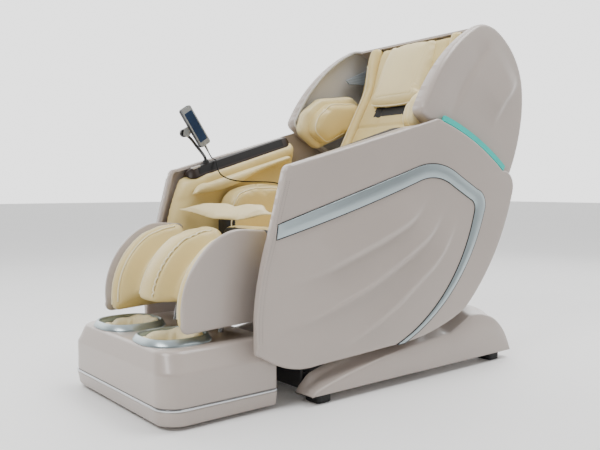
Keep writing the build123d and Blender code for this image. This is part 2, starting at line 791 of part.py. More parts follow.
# ================================================================ leg rest

FOOT_LEAN = radians(10.0)
foot_out = (-sin(FOOT_LEAN), -cos(FOOT_LEAN))  # the way the foot box extends
SLEEVE_TOP = (-472.0, 440.0)
SLEEVE_X = 150.0
SLEEVE_LENGTH = 120.0
ROD_RADIUS = 9.0

with BuildPart() as leg_frame:
    for side in (1, -1):
        slab(
            [
                (-506, 292), (-444, 292), (-398, 470), (-388, 505),
                (-402, 528), (-426, 532), (-446, 520), (-506, 440),
            ],
            side, 214, 228,
        )
        pin_x(LEG_PIVOT, 10, side * 228, side * (PLATE_IN + PLATE_THICK + 4))
        with BuildSketch(Plane((side * SLEEVE_X, *SLEEVE_TOP), z_dir=(0, *foot_out))):
            Circle(15)
        extrude(amount=SLEEVE_LENGTH)
        slab([(-498, 330), (-474, 330), (-456, 425), (-482, 425)], side, SLEEVE_X + 8, 214)
    bar([(-452, 300), (-444, 300), (-436, 400), (-444, 400)], 214)
    for side in (1, -1):
        with BuildSketch(Plane((side * SLEEVE_X, *SLEEVE_TOP), z_dir=(0, *foot_out))):
            Circle(ROD_RADIUS + PIN_GAP)
        extrude(amount=SLEEVE_LENGTH, mode=Mode.SUBTRACT)
    pin_x(LEG_BAR, 8, -214, 214)
save(leg_frame, "leg_frame")


def calf_face(start):
    """Side outline of the leg rest."""
    with BuildSketch(Plane.YZ.offset(start)) as face:
        with BuildLine():
            Line((-436, 275), (-701, 262))
            ThreePointArc((-701, 262), (-722, 272), (-724, 295))
            ThreePointArc((-724, 295), (-694, 446), (-590, 550))
            ThreePointArc((-590, 550), (-548, 567), (-501, 571))
            Line((-501, 571), (-435, 566))
            ThreePointArc((-435, 566), (-417, 560), (-411, 542))
            Line((-411, 542), (-436, 275))
        make_face()
    return face.sketch


for side_name, side in SIDES:
    with BuildPart() as calf_shell:
        extrude(calf_face(side * (CALF_HALF - 16)), amount=side * 16)
        rim = calf_shell.faces().sort_by(Axis.X)[-1 if side > 0 else 0].edges()
        fillet(rim.filter_by(GeomType.CIRCLE), radius=5)
        pin_x(LEG_PIVOT, 20, side * (CALF_HALF - 17), side * (CALF_HALF - 5), Mode.SUBTRACT)
    save(calf_shell, f"calf_shell_{side_name}")


def pad_face(start, depth):
    """Side outline of the calf cushion, its front set back by depth."""
    with BuildSketch(Plane.YZ.offset(start)) as face:
        with BuildLine():
            Line((-510, 284), (-714 + depth, 284))
            ThreePointArc((-714 + depth, 284), (-684 + depth * 0.93, 436 - depth * 0.37),
                          (-585 + depth * 0.55, 540 - depth * 0.84))
            Line((-585 + depth * 0.55, 540 - depth * 0.84), (-510, 562 - depth))
            Line((-510, 562 - depth), (-510, 284))
        make_face()
    return face.sketch


CALF_PAD_HALF = CALF_HALF - 17
CHANNEL_DEPTH = 78.0
CHANNEL_IN, CHANNEL_OUT = 44.0, 214.0

with BuildPart() as calf_pad:
    extrude(pad_face(-CALF_PAD_HALF, CHANNEL_DEPTH), amount=2 * CALF_PAD_HALF)
    extrude(pad_face(-CHANNEL_IN, 0), amount=2 * CHANNEL_IN)
    for side in (1, -1):
        extrude(pad_face(side * CHANNEL_OUT, 0), amount=side * (CALF_PAD_HALF - CHANNEL_OUT))
save(calf_pad, "calf_pad")

# ---------------------------------------------------------------- foot box

FOOT_REAR = -424.0
FOOT_CORNER = 72.0
FLOOR_GAP = 12.0
TRIM_LOW, TRIM_HIGH = 58.0, 66.0
CREASE = 168.0
FOOT_TOP = 226.0
WELL_X = 150.0
WELL_Y = -690.0
WELL_SIZE = (196.0, 200.0)


def foot_plan(height, half, front, rear=FOOT_REAR, corner=FOOT_CORNER):
    """Plan of the foot box at one height, with its two front corners rounded."""
    with BuildSketch(Plane.XY.offset(height)) as plan:
        with BuildLine():
            Line((-half, rear), (-half, front + corner))
            RadiusArc((-half, front + corner), (-half + corner, front), -corner)
            Line((-half + corner, front), (half - corner, front))
            RadiusArc((half - corner, front), (half, front + corner), -corner)
            Line((half, front + corner), (half, rear))
            Line((half, rear), (-half, rear))
        make_face()
    return plan.sketch


with BuildPart() as foot_skirt:
    extrude(foot_plan(FLOOR_GAP, FOOT_HALF + 2, FRONT + 2), amount=TRIM_LOW - FLOOR_GAP)
    chamfer(foot_skirt.edges().group_by(Axis.Z)[0], length=4)
save(foot_skirt, "foot_skirt")

with BuildPart() as foot_trim:
    extrude(foot_plan(TRIM_LOW, FOOT_HALF + 1, FRONT, FOOT_REAR + 1, FOOT_CORNER + 1),
            amount=TRIM_HIGH - TRIM_LOW)
    extrude(foot_plan(TRIM_LOW, FOOT_HALF - 14, FRONT + 15, FOOT_REAR - 14, FOOT_CORNER - 14),
            amount=TRIM_HIGH - TRIM_LOW, mode=Mode.SUBTRACT)
save(foot_trim, "foot_trim")

rod_top = along(SLEEVE_TOP, foot_out, -40)

with BuildPart() as foot_frame:
    extrude(foot_plan(TRIM_LOW, FOOT_HALF - 15, FRONT + 16, FOOT_REAR - 15, FOOT_CORNER - 15),
            amount=TRIM_HIGH - TRIM_LOW)
    for side in (1, -1):
        with BuildSketch(Plane((side * SLEEVE_X, *rod_top), z_dir=(0, *foot_out))):
            Circle(ROD_RADIUS)
        extrude(amount=426)
    with BuildSketch(Plane.XY.offset(TRIM_LOW - 50)):
        Rectangle(1000, 2000)
    extrude(amount=50, mode=Mode.SUBTRACT)
save(foot_frame, "foot_frame")

FOOT_AXLE = (WELL_Y, 96.0)

with BuildPart() as foot_box:
    extrude(foot_plan(TRIM_HIGH, FOOT_HALF - 1, FRONT + 4), amount=CREASE - TRIM_HIGH)
    crease_plan = foot_plan(CREASE, FOOT_HALF - 1, FRONT + 4)
    top_plan = foot_plan(FOOT_TOP, FOOT_HALF - 43, FRONT + 22)
    loft([crease_plan.face(), top_plan.face()], ruled=True)
    with BuildSketch(Plane.XY.offset(78)):
        with Locations((-WELL_X, WELL_Y), (WELL_X, WELL_Y)):
            RectangleRounded(*WELL_SIZE, 80)
    extrude(amount=200, mode=Mode.SUBTRACT)
    pin_x(FOOT_AXLE, 6 + PIN_GAP, -WELL_X - 110, WELL_X + 110, Mode.SUBTRACT)
    for side in (1, -1):
        with BuildSketch(Plane((side * SLEEVE_X, *along(SLEEVE_TOP, foot_out, 100)), z_dir=(0, *foot_out))):
            Circle(ROD_RADIUS + 1)
        extrude(amount=400, mode=Mode.SUBTRACT)
save(foot_box, "foot_box")

with BuildPart() as foot_rings:
    with BuildSketch(Plane.XY.offset(FOOT_TOP)):
        with Locations((-WELL_X, WELL_Y), (WELL_X, WELL_Y)):
            RectangleRounded(WELL_SIZE[0] + 38, WELL_SIZE[1] + 20, 90)
        with Locations((-WELL_X, WELL_Y), (WELL_X, WELL_Y)):
            RectangleRounded(WELL_SIZE[0], WELL_SIZE[1], 80, mode=Mode.SUBTRACT)
    extrude(amount=9)
    chamfer(foot_rings.edges().group_by(Axis.Z)[-1], length=2)
save(foot_rings, "foot_rings")

with BuildPart() as foot_liners:
    with BuildSketch(Plane.XY.offset(125)):
        with Locations((-WELL_X, WELL_Y), (WELL_X, WELL_Y)):
            RectangleRounded(WELL_SIZE[0] - 2, WELL_SIZE[1] - 2, 79)
    extrude(amount=119)
    with BuildSketch(Plane.XY.offset(133)):
        with Locations((-WELL_X, WELL_Y), (WELL_X, WELL_Y)):
            RectangleRounded(WELL_SIZE[0] - 22, WELL_SIZE[1] - 22, 69)
    extrude(amount=140, mode=Mode.SUBTRACT)
save(foot_liners, "foot_liners")

with BuildPart() as foot_rollers:
    pin_x(FOOT_AXLE, 6, -WELL_X - 105, WELL_X + 105)
    for x in (-WELL_X - 42, -WELL_X + 12, WELL_X - 42, WELL_X + 12):
        pin_x(FOOT_AXLE, 16, x, x + 30)
save(foot_rollers, "foot_rollers")
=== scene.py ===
import math

import bmesh
import bpy
import numpy as np
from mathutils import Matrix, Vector, noise
from mathutils.bvhtree import BVHTree
from mathutils.geometry import delaunay_2d_cdt
from mathutils.kdtree import KDTree


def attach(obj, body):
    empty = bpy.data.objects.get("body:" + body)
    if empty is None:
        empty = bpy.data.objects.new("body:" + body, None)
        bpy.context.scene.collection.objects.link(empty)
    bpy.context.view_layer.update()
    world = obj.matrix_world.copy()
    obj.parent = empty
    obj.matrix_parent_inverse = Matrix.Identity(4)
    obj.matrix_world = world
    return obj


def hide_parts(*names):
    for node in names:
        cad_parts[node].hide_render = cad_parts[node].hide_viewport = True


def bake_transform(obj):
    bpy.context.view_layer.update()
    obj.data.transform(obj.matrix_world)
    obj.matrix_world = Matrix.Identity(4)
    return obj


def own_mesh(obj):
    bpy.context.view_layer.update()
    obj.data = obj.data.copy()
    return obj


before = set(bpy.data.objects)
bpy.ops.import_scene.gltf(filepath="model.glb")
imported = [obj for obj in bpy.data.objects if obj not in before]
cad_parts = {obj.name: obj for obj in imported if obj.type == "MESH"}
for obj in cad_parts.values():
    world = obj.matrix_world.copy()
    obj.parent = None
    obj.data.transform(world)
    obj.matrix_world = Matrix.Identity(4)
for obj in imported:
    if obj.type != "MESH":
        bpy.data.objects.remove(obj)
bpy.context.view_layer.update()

# The chair's looks. Lengths below are millimetres in the CAD frame; MM turns them into metres.
MM = 0.001
SIDES = (("left", 1), ("right", -1))

# ---- sizes shared with the CAD model
SHELL_HALF, BOW_RADIUS, BOW_AT = 422.0, 9500.0, 450.0
SHELL_WALL, FLANGE_INNER = 12.0, 353.0
HOOD_HALF, HOOD_RIM_IN = 402.0, 345.0
ARM_INNER, ARM_OUTER, ARM_RISE = 296.0, 352.0, 0.306
ARM_FRONT = (-385.0, 738.0)
BACK_LEAN, BACK_FOOT = math.radians(30), (165.0, 500.0)
FRONT, FOOT_HALF, FOOT_REAR = -825.0, 348.0, -424.0
WELL_X, WELL_Y = 150.0, -690.0

# ================================================================ materials


def link(tree, source, target):
    tree.links.new(source, target)


def surface(name, colour, roughness, mottle=5.0, shade=0.05, grain=900.0, bump=0.05, creases=0.0, **shader):
    """A procedural finish: slow colour and gloss variation, fine grain and, for leather, soft wrinkles."""
    made = bpy.data.materials.new(name)
    made.use_nodes = True
    tree = made.node_tree
    principled = tree.nodes["Principled BSDF"]
    place = tree.nodes.new("ShaderNodeTexCoord").outputs["Object"]
    clouds = tree.nodes.new("ShaderNodeTexNoise")
    clouds.inputs["Scale"].default_value = mottle
    clouds.inputs["Detail"].default_value = 4.0
    link(tree, place, clouds.inputs["Vector"])
    tint = tree.nodes.new("ShaderNodeValToRGB")
    tint.color_ramp.elements[0].position = 0.3
    tint.color_ramp.elements[1].position = 0.7
    tint.color_ramp.elements[0].color = (*[c * (1 - shade) for c in colour], 1)
    tint.color_ramp.elements[1].color = (*[min(1, c * (1 + shade)) for c in colour], 1)
    link(tree, clouds.outputs["Fac"], tint.inputs["Fac"])
    link(tree, tint.outputs["Color"], principled.inputs["Base Color"])
    gloss = tree.nodes.new("ShaderNodeMapRange")
    gloss.inputs["To Min"].default_value = roughness * 0.88
    gloss.inputs["To Max"].default_value = min(1, roughness * 1.12)
    link(tree, clouds.outputs["Fac"], gloss.inputs["Value"])
    link(tree, gloss.outputs["Result"], principled.inputs["Roughness"])
    pores = tree.nodes.new("ShaderNodeTexVoronoi" if creases else "ShaderNodeTexNoise")
    pores.inputs["Scale"].default_value = grain
    link(tree, place, pores.inputs["Vector"])
    relief = tree.nodes.new("ShaderNodeBump")
    relief.inputs["Strength"].default_value = bump
    relief.inputs["Distance"].default_value = 0.0006
    link(tree, pores.outputs["Distance" if creases else "Fac"], relief.inputs["Height"])
    if creases:
        folds = tree.nodes.new("ShaderNodeTexNoise")
        folds.inputs["Scale"].default_value = 38.0
        folds.inputs["Detail"].default_value = 5.0
        folds.inputs["Distortion"].default_value = 0.6
        link(tree, place, folds.inputs["Vector"])
        soft = tree.nodes.new("ShaderNodeBump")
        soft.inputs["Strength"].default_value = creases
        soft.inputs["Distance"].default_value = 0.003
        link(tree, folds.outputs["Fac"], soft.inputs["Height"])
        link(tree, soft.outputs["Normal"], relief.inputs["Normal"])
    link(tree, relief.outputs["Normal"], principled.inputs["Normal"])
    for socket, value in shader.items():
        principled.inputs[socket.replace("_", " ")].default_value = value
    return made


def perforated(name, colour, roughness, pitch):
    """Speaker cloth: a regular field of small dark holes."""
    made = surface(name, colour, roughness, grain=2000.0, bump=0.1)
    tree = made.node_tree
    principled = tree.nodes["Principled BSDF"]
    place = tree.nodes.new("ShaderNodeTexCoord").outputs["Object"]
    holes = tree.nodes.new("ShaderNodeTexVoronoi")
    holes.inputs["Scale"].default_value = 1 / pitch
    holes.inputs["Randomness"].default_value = 0.0
    link(tree, place, holes.inputs["Vector"])
    edge = tree.nodes.new("ShaderNodeMapRange")
    edge.inputs["From Min"].default_value = 0.26
    edge.inputs["From Max"].default_value = 0.38
    link(tree, holes.outputs["Distance"], edge.inputs["Value"])
    mix = tree.nodes.new("ShaderNodeMix")
    mix.data_type = "RGBA"
    mix.inputs["A"].default_value = (*[c * 0.45 for c in colour], 1)
    mix.inputs["B"].default_value = (*colour, 1)
    link(tree, edge.outputs["Result"], mix.inputs["Factor"])
    link(tree, mix.outputs["Result"], principled.inputs["Base Color"])
    return made


LEATHER_COLOUR = (0.72, 0.57, 0.25)
leather = surface("cream_leather", LEATHER_COLOUR, 0.42, 7, 0.05, 650, 0.25, 0.12, Coat_Weight=0.08)
leather_light = surface("pale_leather", (0.78, 0.65, 0.34), 0.42, 7, 0.04, 650, 0.25, 0.12, Coat_Weight=0.08)
piping_skin = surface("piping_leather", (0.84, 0.76, 0.52), 0.38, 12, 0.05, 900, 0.2, 0.05)
thread = surface("cream_thread", (0.88, 0.82, 0.62), 0.6, 60, 0.08, 3000, 0.3)
dark_thread = surface("taupe_thread", (0.30, 0.26, 0.23), 0.6, 60, 0.08, 3000, 0.3)
liner_cloth = surface("liner_cloth", (0.84, 0.75, 0.48), 0.85, 18, 0.08, 1500, 0.5, 0.35, Sheen_Weight=0.3)
greige = surface("shell_plastic", (0.445, 0.385, 0.345), 0.32, 3, 0.02, 1400, 0.02, Coat_Weight=0.3)
greige_inside = surface("hood_inner_plastic", (0.60, 0.585, 0.57), 0.5, 4, 0.02, 1400, 0.03)
silver = surface("silver_paint", (0.40, 0.47, 0.49), 0.32, 5, 0.03, 2600, 0.03, Metallic=0.75)
chrome = surface("satin_chrome", (0.62, 0.64, 0.66), 0.18, 5, 0.02, 1800, 0.01, Metallic=1.0)
seal = surface("black_seal", (0.012, 0.012, 0.013), 0.6, 20, 0.1, 1500, 0.1)
black = surface("black_plastic", (0.014, 0.014, 0.015), 0.42, 14, 0.12, 1300, 0.12)
rubber = surface("black_rubber", (0.012, 0.012, 0.012), 0.7, 20, 0.15, 1100, 0.2)
jacket = surface("cable_jacket", (0.004, 0.004, 0.004), 0.7, 20, 0.1, 1500, 0.1, Specular_IOR_Level=0.2)
brown_gloss = surface("brown_gloss", (0.022, 0.013, 0.010), 0.4, 6, 0.08, 1200, 0.01, Specular_IOR_Level=0.2)
black_gloss = surface("black_gloss", (0.006, 0.005, 0.005), 0.35, 6, 0.05, 1200, 0.005, Specular_IOR_Level=0.12)
key_skin = surface("key_plastic", (0.50, 0.47, 0.43), 0.3, 10, 0.04, 1200, 0.03)
screen_glass = surface("screen_glass", (0.016, 0.036, 0.085), 0.08, 9, 0.2, 900, 0.0, Coat_Weight=0.6)
bezel_skin = surface("bezel_plastic", (0.36, 0.38, 0.39), 0.28, 10, 0.04, 1200, 0.02, Metallic=0.4)
steel_coat = surface("steel_coat", (0.022, 0.022, 0.024), 0.45, 12, 0.15, 700, 0.15, Metallic=0.2)
steel_ground = surface("ground_steel", (0.55, 0.55, 0.57), 0.25, 8, 0.06, 2400, 0.06, Metallic=1.0)
roller_skin = surface("roller_rubber", (0.06, 0.05, 0.045), 0.6, 14, 0.15, 900, 0.15)
plywood = surface("plywood", (0.42, 0.29, 0.16), 0.6, 9, 0.16, 300, 0.2)
mesh_cloth = perforated("speaker_mesh", (0.40, 0.46, 0.52), 0.55, 0.0075)
led = surface("led_lens", (0.01, 0.40, 0.35), 0.3, 9, 0.06, 1200, 0.02, Emission_Strength=0.3,
              Emission_Color=(0.0, 0.62, 0.52, 1))

# ================================================================ mesh helpers


def show(name, verts, faces, skin, sharp=55.0):
    """A new mesh piece from millimetre vertices, shaded smooth, with its normals facing out."""
    mesh = bpy.data.meshes.new(name)
    mesh.from_pydata([(x * MM, y * MM, z * MM) for x, y, z in verts], [], faces)
    solid = bmesh.new()
    solid.from_mesh(mesh)
    bmesh.ops.remove_doubles(solid, verts=solid.verts, dist=0.00002)
    if len(faces) > 1:
        bmesh.ops.dissolve_degenerate(solid, dist=0.0002, edges=solid.edges)
        bmesh.ops.holes_fill(solid, edges=[edge for edge in solid.edges if edge.is_boundary], sides=0)
    bmesh.ops.recalc_face_normals(solid, faces=solid.faces)
    solid.to_mesh(mesh)
    solid.free()
    piece = bpy.data.objects.new(name, mesh)
    bpy.context.scene.collection.objects.link(piece)
    mesh.materials.append(skin)
    smooth(piece, sharp)
    return piece


def smooth(piece, sharp=55.0):
    piece.data.polygons.foreach_set("use_smooth", [True] * len(piece.data.polygons))
    piece.data.set_sharp_from_angle(angle=math.radians(sharp))


def fit(piece, body, slot, *nodes):
    """Tie a finished piece to its body and hide the CAD nodes that it stands for; the slot argument is not
    used.
    """
    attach(piece, body)
    if nodes:
        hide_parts(*nodes)


def pad(piece, body, fill, *nodes):
    fit(piece, body, "leather", *nodes)


def trace(start, *legs, step=7.0):
    """Points along straight legs (end,) and arcs (middle, end), about step apart, without the last."""
    points = [np.array(start, float)]
    for leg in legs:
        here, end = points[-1], np.array(leg[-1], float)
        if len(leg) == 1:
            count = max(1, round(np.linalg.norm(end - here) / step))
            points += [here + (end - here) * k / count for k in range(1, count + 1)]
            continue
        middle = np.array(leg[0], float)
        ax, ay, bx, by, cx, cy = *here, *middle, *end
        d = 2 * (ax * (by - cy) + bx * (cy - ay) + cx * (ay - by))
        sq = [ax * ax + ay * ay, bx * bx + by * by, cx * cx + cy * cy]
        centre = np.array([
            (sq[0] * (by - cy) + sq[1] * (cy - ay) + sq[2] * (ay - by)) / d,
            (sq[0] * (cx - bx) + sq[1] * (ax - cx) + sq[2] * (bx - ax)) / d,
        ])
        radius = np.linalg.norm(here - centre)
        angles = [math.atan2(*(p - centre)[::-1]) for p in (here, middle, end)]
        turn = (angles[2] - angles[0]) % math.tau
        if (angles[1] - angles[0]) % math.tau > turn:
            turn -= math.tau
        count = max(3, round(abs(turn) * radius / step))
        for k in range(1, count + 1):
            at = angles[0] + turn * k / count
            points.append(centre + radius * np.array([math.cos(at), math.sin(at)]))
    if np.linalg.norm(points[0] - points[-1]) < 0.01:
        points.pop()
    return np.array(points)


def counter_clockwise(points):
    x, y = points[:, 0], points[:, 1]
    area = np.sum(x * np.roll(y, -1) - np.roll(x, -1) * y)
    return points if area > 0 else points[::-1]


def inset(points, distance):
    """A counter-clockwise outline moved inward by distance, point for point."""
    before, after = points - np.roll(points, 1, 0), np.roll(points, -1, 0) - points
    before /= np.linalg.norm(before, axis=1)[:, None] + 1e-9
    after /= np.linalg.norm(after, axis=1)[:, None] + 1e-9
    first = np.stack([-before[:, 1], before[:, 0]], 1)
    second = np.stack([-after[:, 1], after[:, 0]], 1)
    middle = first + second
    middle /= np.linalg.norm(middle, axis=1)[:, None] + 1e-9
    reach = 1 / np.maximum(0.6, np.sum(middle * first, axis=1))
    return points + middle * (distance * reach)[:, None]


def resampled(ring, count):
    """A closed outline with count points, evenly spaced from its first."""
    closed = np.concatenate([ring, ring[:1]])
    lengths = np.concatenate([[0], np.cumsum(np.linalg.norm(np.diff(closed, axis=0), axis=1))])
    at = np.linspace(0, lengths[-1], count + 1)[:-1]
    return np.stack([np.interp(at, lengths, closed[:, 0]), np.interp(at, lengths, closed[:, 1])], 1)


def soften(points, passes=2):
    """Round an outline's corners a little."""
    for _ in range(passes):
        points = 0.25 * np.roll(points, 1, 0) + 0.5 * points + 0.25 * np.roll(points, -1, 0)
    return points


def inside(ring, spots):
    """Which spots lie inside a closed ring."""
    x, y = spots[:, 0][:, None], spots[:, 1][:, None]
    ax, ay = ring[:, 0][None], ring[:, 1][None]
    bx, by = np.roll(ring, -1, 0)[:, 0][None], np.roll(ring, -1, 0)[:, 1][None]
    crosses = ((ay > y) != (by > y)) & (x < (bx - ax) * (y - ay) / (by - ay + 1e-12) + ax)
    return crosses.sum(1) % 2 == 1


def nearest(ring, spots):
    """Distance from each spot to the nearest point of a dense ring."""
    gaps = spots[:, None, :] - ring[None, :, :]
    return np.sqrt((gaps ** 2).sum(2)).min(1)


def fill(ring, spacing, holes=()):
    """Grid points inside a ring, and triangles over ring, holes and grid points together."""
    low, high = ring.min(0), ring.max(0)
    u, v = np.meshgrid(np.arange(low[0], high[0], spacing), np.arange(low[1], high[1], spacing))
    u = u + (np.arange(u.shape[0]) % 2 * spacing / 2)[:, None]
    spots = np.stack([u.ravel(), v.ravel()], 1)
    spots = spots[inside(ring, spots)]
    spots = spots[nearest(ring, spots) > spacing * 0.6]
    loops = [list(range(len(ring)))]
    rim = [ring]
    for hole in holes:
        spots = spots[~inside(hole, spots)]
        spots = spots[nearest(hole, spots) > spacing * 0.6]
        start = sum(len(r) for r in rim)
        loops.append(list(range(start, start + len(hole))))
        rim.append(hole)
    points = np.concatenate(rim + [spots])
    edges = [(loop[k], loop[(k + 1) % len(loop)]) for loop in loops for k in range(len(loop))]
    made = delaunay_2d_cdt([Vector(p) for p in points], edges, [], 0, 1e-7)
    origin = []
    crossings = []  # where an edge of the ring crosses itself
    for spot, source in zip(made[0], made[3]):
        if source:
            origin.append(source[0])
        else:
            origin.append(len(points) + len(crossings))
            crossings.append(tuple(spot))
    if crossings:
        points = np.concatenate([points, np.array(crossings)])
        spots = np.concatenate([spots, np.array(crossings)])
    triangles = [tuple(origin[k] for k in face) for face in made[2]]
    middles = np.array([points[list(face)].mean(0) for face in triangles])
    kept = inside(ring, middles)
    for hole in holes:
        kept &= ~inside(hole, middles)
    return spots, [face for face, keep in zip(triangles, kept) if keep]


def rounded_out(height, radius, steps=5):
    """Profile rings that round an outer edge up to a height function."""
    rings = []
    for k in range(steps + 1):
        angle = math.pi / 2 * k / steps
        drop, edge = radius * (1 - math.sin(angle)), radius * (1 - math.cos(angle))
        rings.append((edge, lambda u, v, d, drop=drop: height(u, v, d) - drop))
    return rings


def rounded_in(height, radius, steps=3):
    """Profile rings that round an inner edge from a height function out to the side wall."""
    rings = []
    for k in range(steps + 1):
        angle = math.pi / 2 * k / steps
        rise, edge = radius * (1 - math.cos(angle)), radius * (1 - math.sin(angle))
        rings.append((edge, lambda u, v, d, rise=rise: height(u, v, d) + rise))
    return rings


def pillowed(back, lip, front, radius, steps=5):
    """Profile of a pad from its back, with a rounded lip, to its rounded front."""
    return rounded_in(back, lip) + rounded_out(front, radius, steps)


def flat(level):
    return lambda u, v, d: np.full(len(u), float(level))


def crowned(level, crown, reach):
    """A face that swells by crown over a distance from its edge."""
    return lambda u, v, d: level + crown * (1 - np.exp(-d / reach))


def panel(points, profile, spacing, back_spacing=60.0):
    """Vertices (u, v, w) and faces of a closed panel whose rings run from its back to its front."""
    outline = counter_clockwise(points)
    verts, faces, count = [], [], len(outline)
    rings = [(inset(outline, edge), edge, height) for edge, height in profile]
    for ring, edge, height in rings:
        verts += list(zip(ring[:, 0], ring[:, 1], height(ring[:, 0], ring[:, 1], np.full(count, edge))))
    for level in range(len(rings) - 1):
        for k in range(count):
            a, b = level * count + k, level * count + (k + 1) % count
            faces.append((a, b, b + count, a + count))
    for (ring, edge, height), first, gap in (
        (rings[0], 0, back_spacing), (rings[-1], (len(rings) - 1) * count, spacing),
    ):
        spots, triangles = fill(ring, gap)
        start = len(verts)
        if len(spots):
            away = nearest(ring, spots) + edge
            verts += list(zip(spots[:, 0], spots[:, 1], height(spots[:, 0], spots[:, 1], away)))
        faces += [tuple(first + k if k < count else start + k - count for k in face) for face in triangles]
    return verts, faces


def across(side, verts, base=0.0, sign=1):
    """Stand a (Y, Z) panel up beside the chair: w is measured from |X| = base."""
    return [(side * (base + sign * w), u, v) for u, v, w in verts]


def stack(rings, cap_low=True):
    """Vertices and faces of a wall through rings of equal length, each a list of (x, y, z)."""
    count = len(rings[0])
    verts = [tuple(p) for ring in rings for p in ring]
    faces = []
    for level in range(len(rings) - 1):
        for k in range(count):
            a, b = level * count + k, level * count + (k + 1) % count
            faces.append((a, b, b + count, a + count))
    if cap_low:
        faces.append(tuple(reversed(range(count))))
    return verts, faces


def capped(rings):
    """The same wall with both ends closed."""
    verts, faces = stack(rings)
    return verts, [*faces, tuple(range(len(verts) - len(rings[0]), len(verts)))]


def tube_mesh(points, radius, sides=10, taper=0.0):
    """Vertices and faces of a round tube along 3-D points in millimetres, with closed ends."""
    points = [Vector(p) for p in points]
    verts, faces = [], []
    across_way = None
    for k, point in enumerate(points):
        way = (points[min(k + 1, len(points) - 1)] - points[max(k - 1, 0)]).normalized()
        if across_way is None:
            across_way = way.orthogonal().normalized()
        across_way = (across_way - way * across_way.dot(way)).normalized()
        other = way.cross(across_way)
        size = radius * (1 - taper * (k in (0, len(points) - 1)))
        for s in range(sides):
            angle = math.tau * s / sides
            verts.append(tuple(point + (across_way * math.cos(angle) + other * math.sin(angle)) * size))
    for k in range(len(points) - 1):
        for s in range(sides):
            a, b = k * sides + s, k * sides + (s + 1) % sides
            faces.append((a, b, b + sides, a + sides))
    faces.append(tuple(reversed(range(sides))))
    faces.append(tuple(range((len(points) - 1) * sides, len(points) * sides)))
    return verts, faces


def merged(parts):
    """Join several (verts, faces) into one."""
    verts, faces = [], []
    for part_verts, part_faces in parts:
        start = len(verts)
        verts += list(part_verts)
        faces += [tuple(k + start for k in face) for face in part_faces]
    return verts, faces


def evenly(points, gap):
    """Points about gap apart along a 3-D or 2-D line."""
    points = [np.array(p, float) for p in points]
    lengths = [0.0]
    for a, b in zip(points, points[1:]):
        lengths.append(lengths[-1] + float(np.linalg.norm(b - a)))
    count = max(2, round(lengths[-1] / gap))
    stations = np.linspace(0, lengths[-1], count + 1)
    table = np.array(points)
    return np.stack([np.interp(stations, lengths, table[:, k]) for k in range(table.shape[1])], 1)


def curve_through(points, gap=6.0):
    """A smooth line through a few given points (Catmull-Rom), about gap apart."""
    points = [np.array(p, float) for p in points]
    ends = [2 * points[0] - points[1], *points, 2 * points[-1] - points[-2]]
    line = []
    for a, b, c, d in zip(ends, ends[1:], ends[2:], ends[3:]):
        for k in range(12):
            t = k / 12
            line.append(0.5 * (2 * b + (c - a) * t + (2 * a - 5 * b + 4 * c - d) * t * t
                               + (3 * b - a - 3 * c + d) * t ** 3))
    line.append(points[-1])
    return evenly(line, gap)


def surface_of(piece):
    """A tree for finding the piece's surface, in metres."""
    return BVHTree.FromPolygons([v.co for v in piece.data.vertices],
                                [tuple(p.vertices) for p in piece.data.polygons])


def laid_on(tree, points, lift):
    """Millimetre points moved onto the nearest surface and lifted off it."""
    laid = []
    for point in points:
        spot, normal, _, _ = tree.find_nearest(Vector(point) * MM)
        laid.append(tuple((spot + normal * lift * MM) / MM))
    return laid


def press_in(piece, lines, depth, width):
    """Sink a sewn line into a cushion: points near the lines move in along their normals."""
    points = [Vector(p) * MM for line in lines for p in evenly(line, 3.0)]
    tree = KDTree(len(points))
    for k, point in enumerate(points):
        tree.insert(point, k)
    tree.balance()
    moves = []
    for vertex in piece.data.vertices:
        gap = tree.find(vertex.co)[2] / MM
        if gap < width * 3:
            moves.append((vertex, vertex.normal.copy() * (-depth * MM * math.exp(-(gap / width) ** 2))))
    for vertex, move in moves:
        vertex.co += move


def stitch_mesh(line, length, gap, radius):
    """A row of separate stitches along a line."""
    spots = evenly(line, length + gap)
    parts = []
    for a, b in zip(spots, spots[1:]):
        way = (b - a) / (np.linalg.norm(b - a) + 1e-9)
        middle = (a + b) / 2
        ends = [middle - way * length / 2, middle - way * length / 4, middle + way * length / 4,
                middle + way * length / 2]
        parts.append(tube_mesh(ends, radius, 5, 0.5))
    return merged(parts)


def piping(name, lines, radius, skin, body, slot="leather"):
    """Sewn piping along one or more lines, as one piece."""
    piece = show(name, *merged([tube_mesh(line, radius, 8) for line in lines]), skin)
    fit(piece, body, slot)
    return piece


def apply_modifiers(piece):
    graph = bpy.context.evaluated_depsgraph_get()
    mesh = bpy.data.meshes.new_from_object(piece.evaluated_get(graph))
    piece.modifiers.clear()
    piece.data = mesh


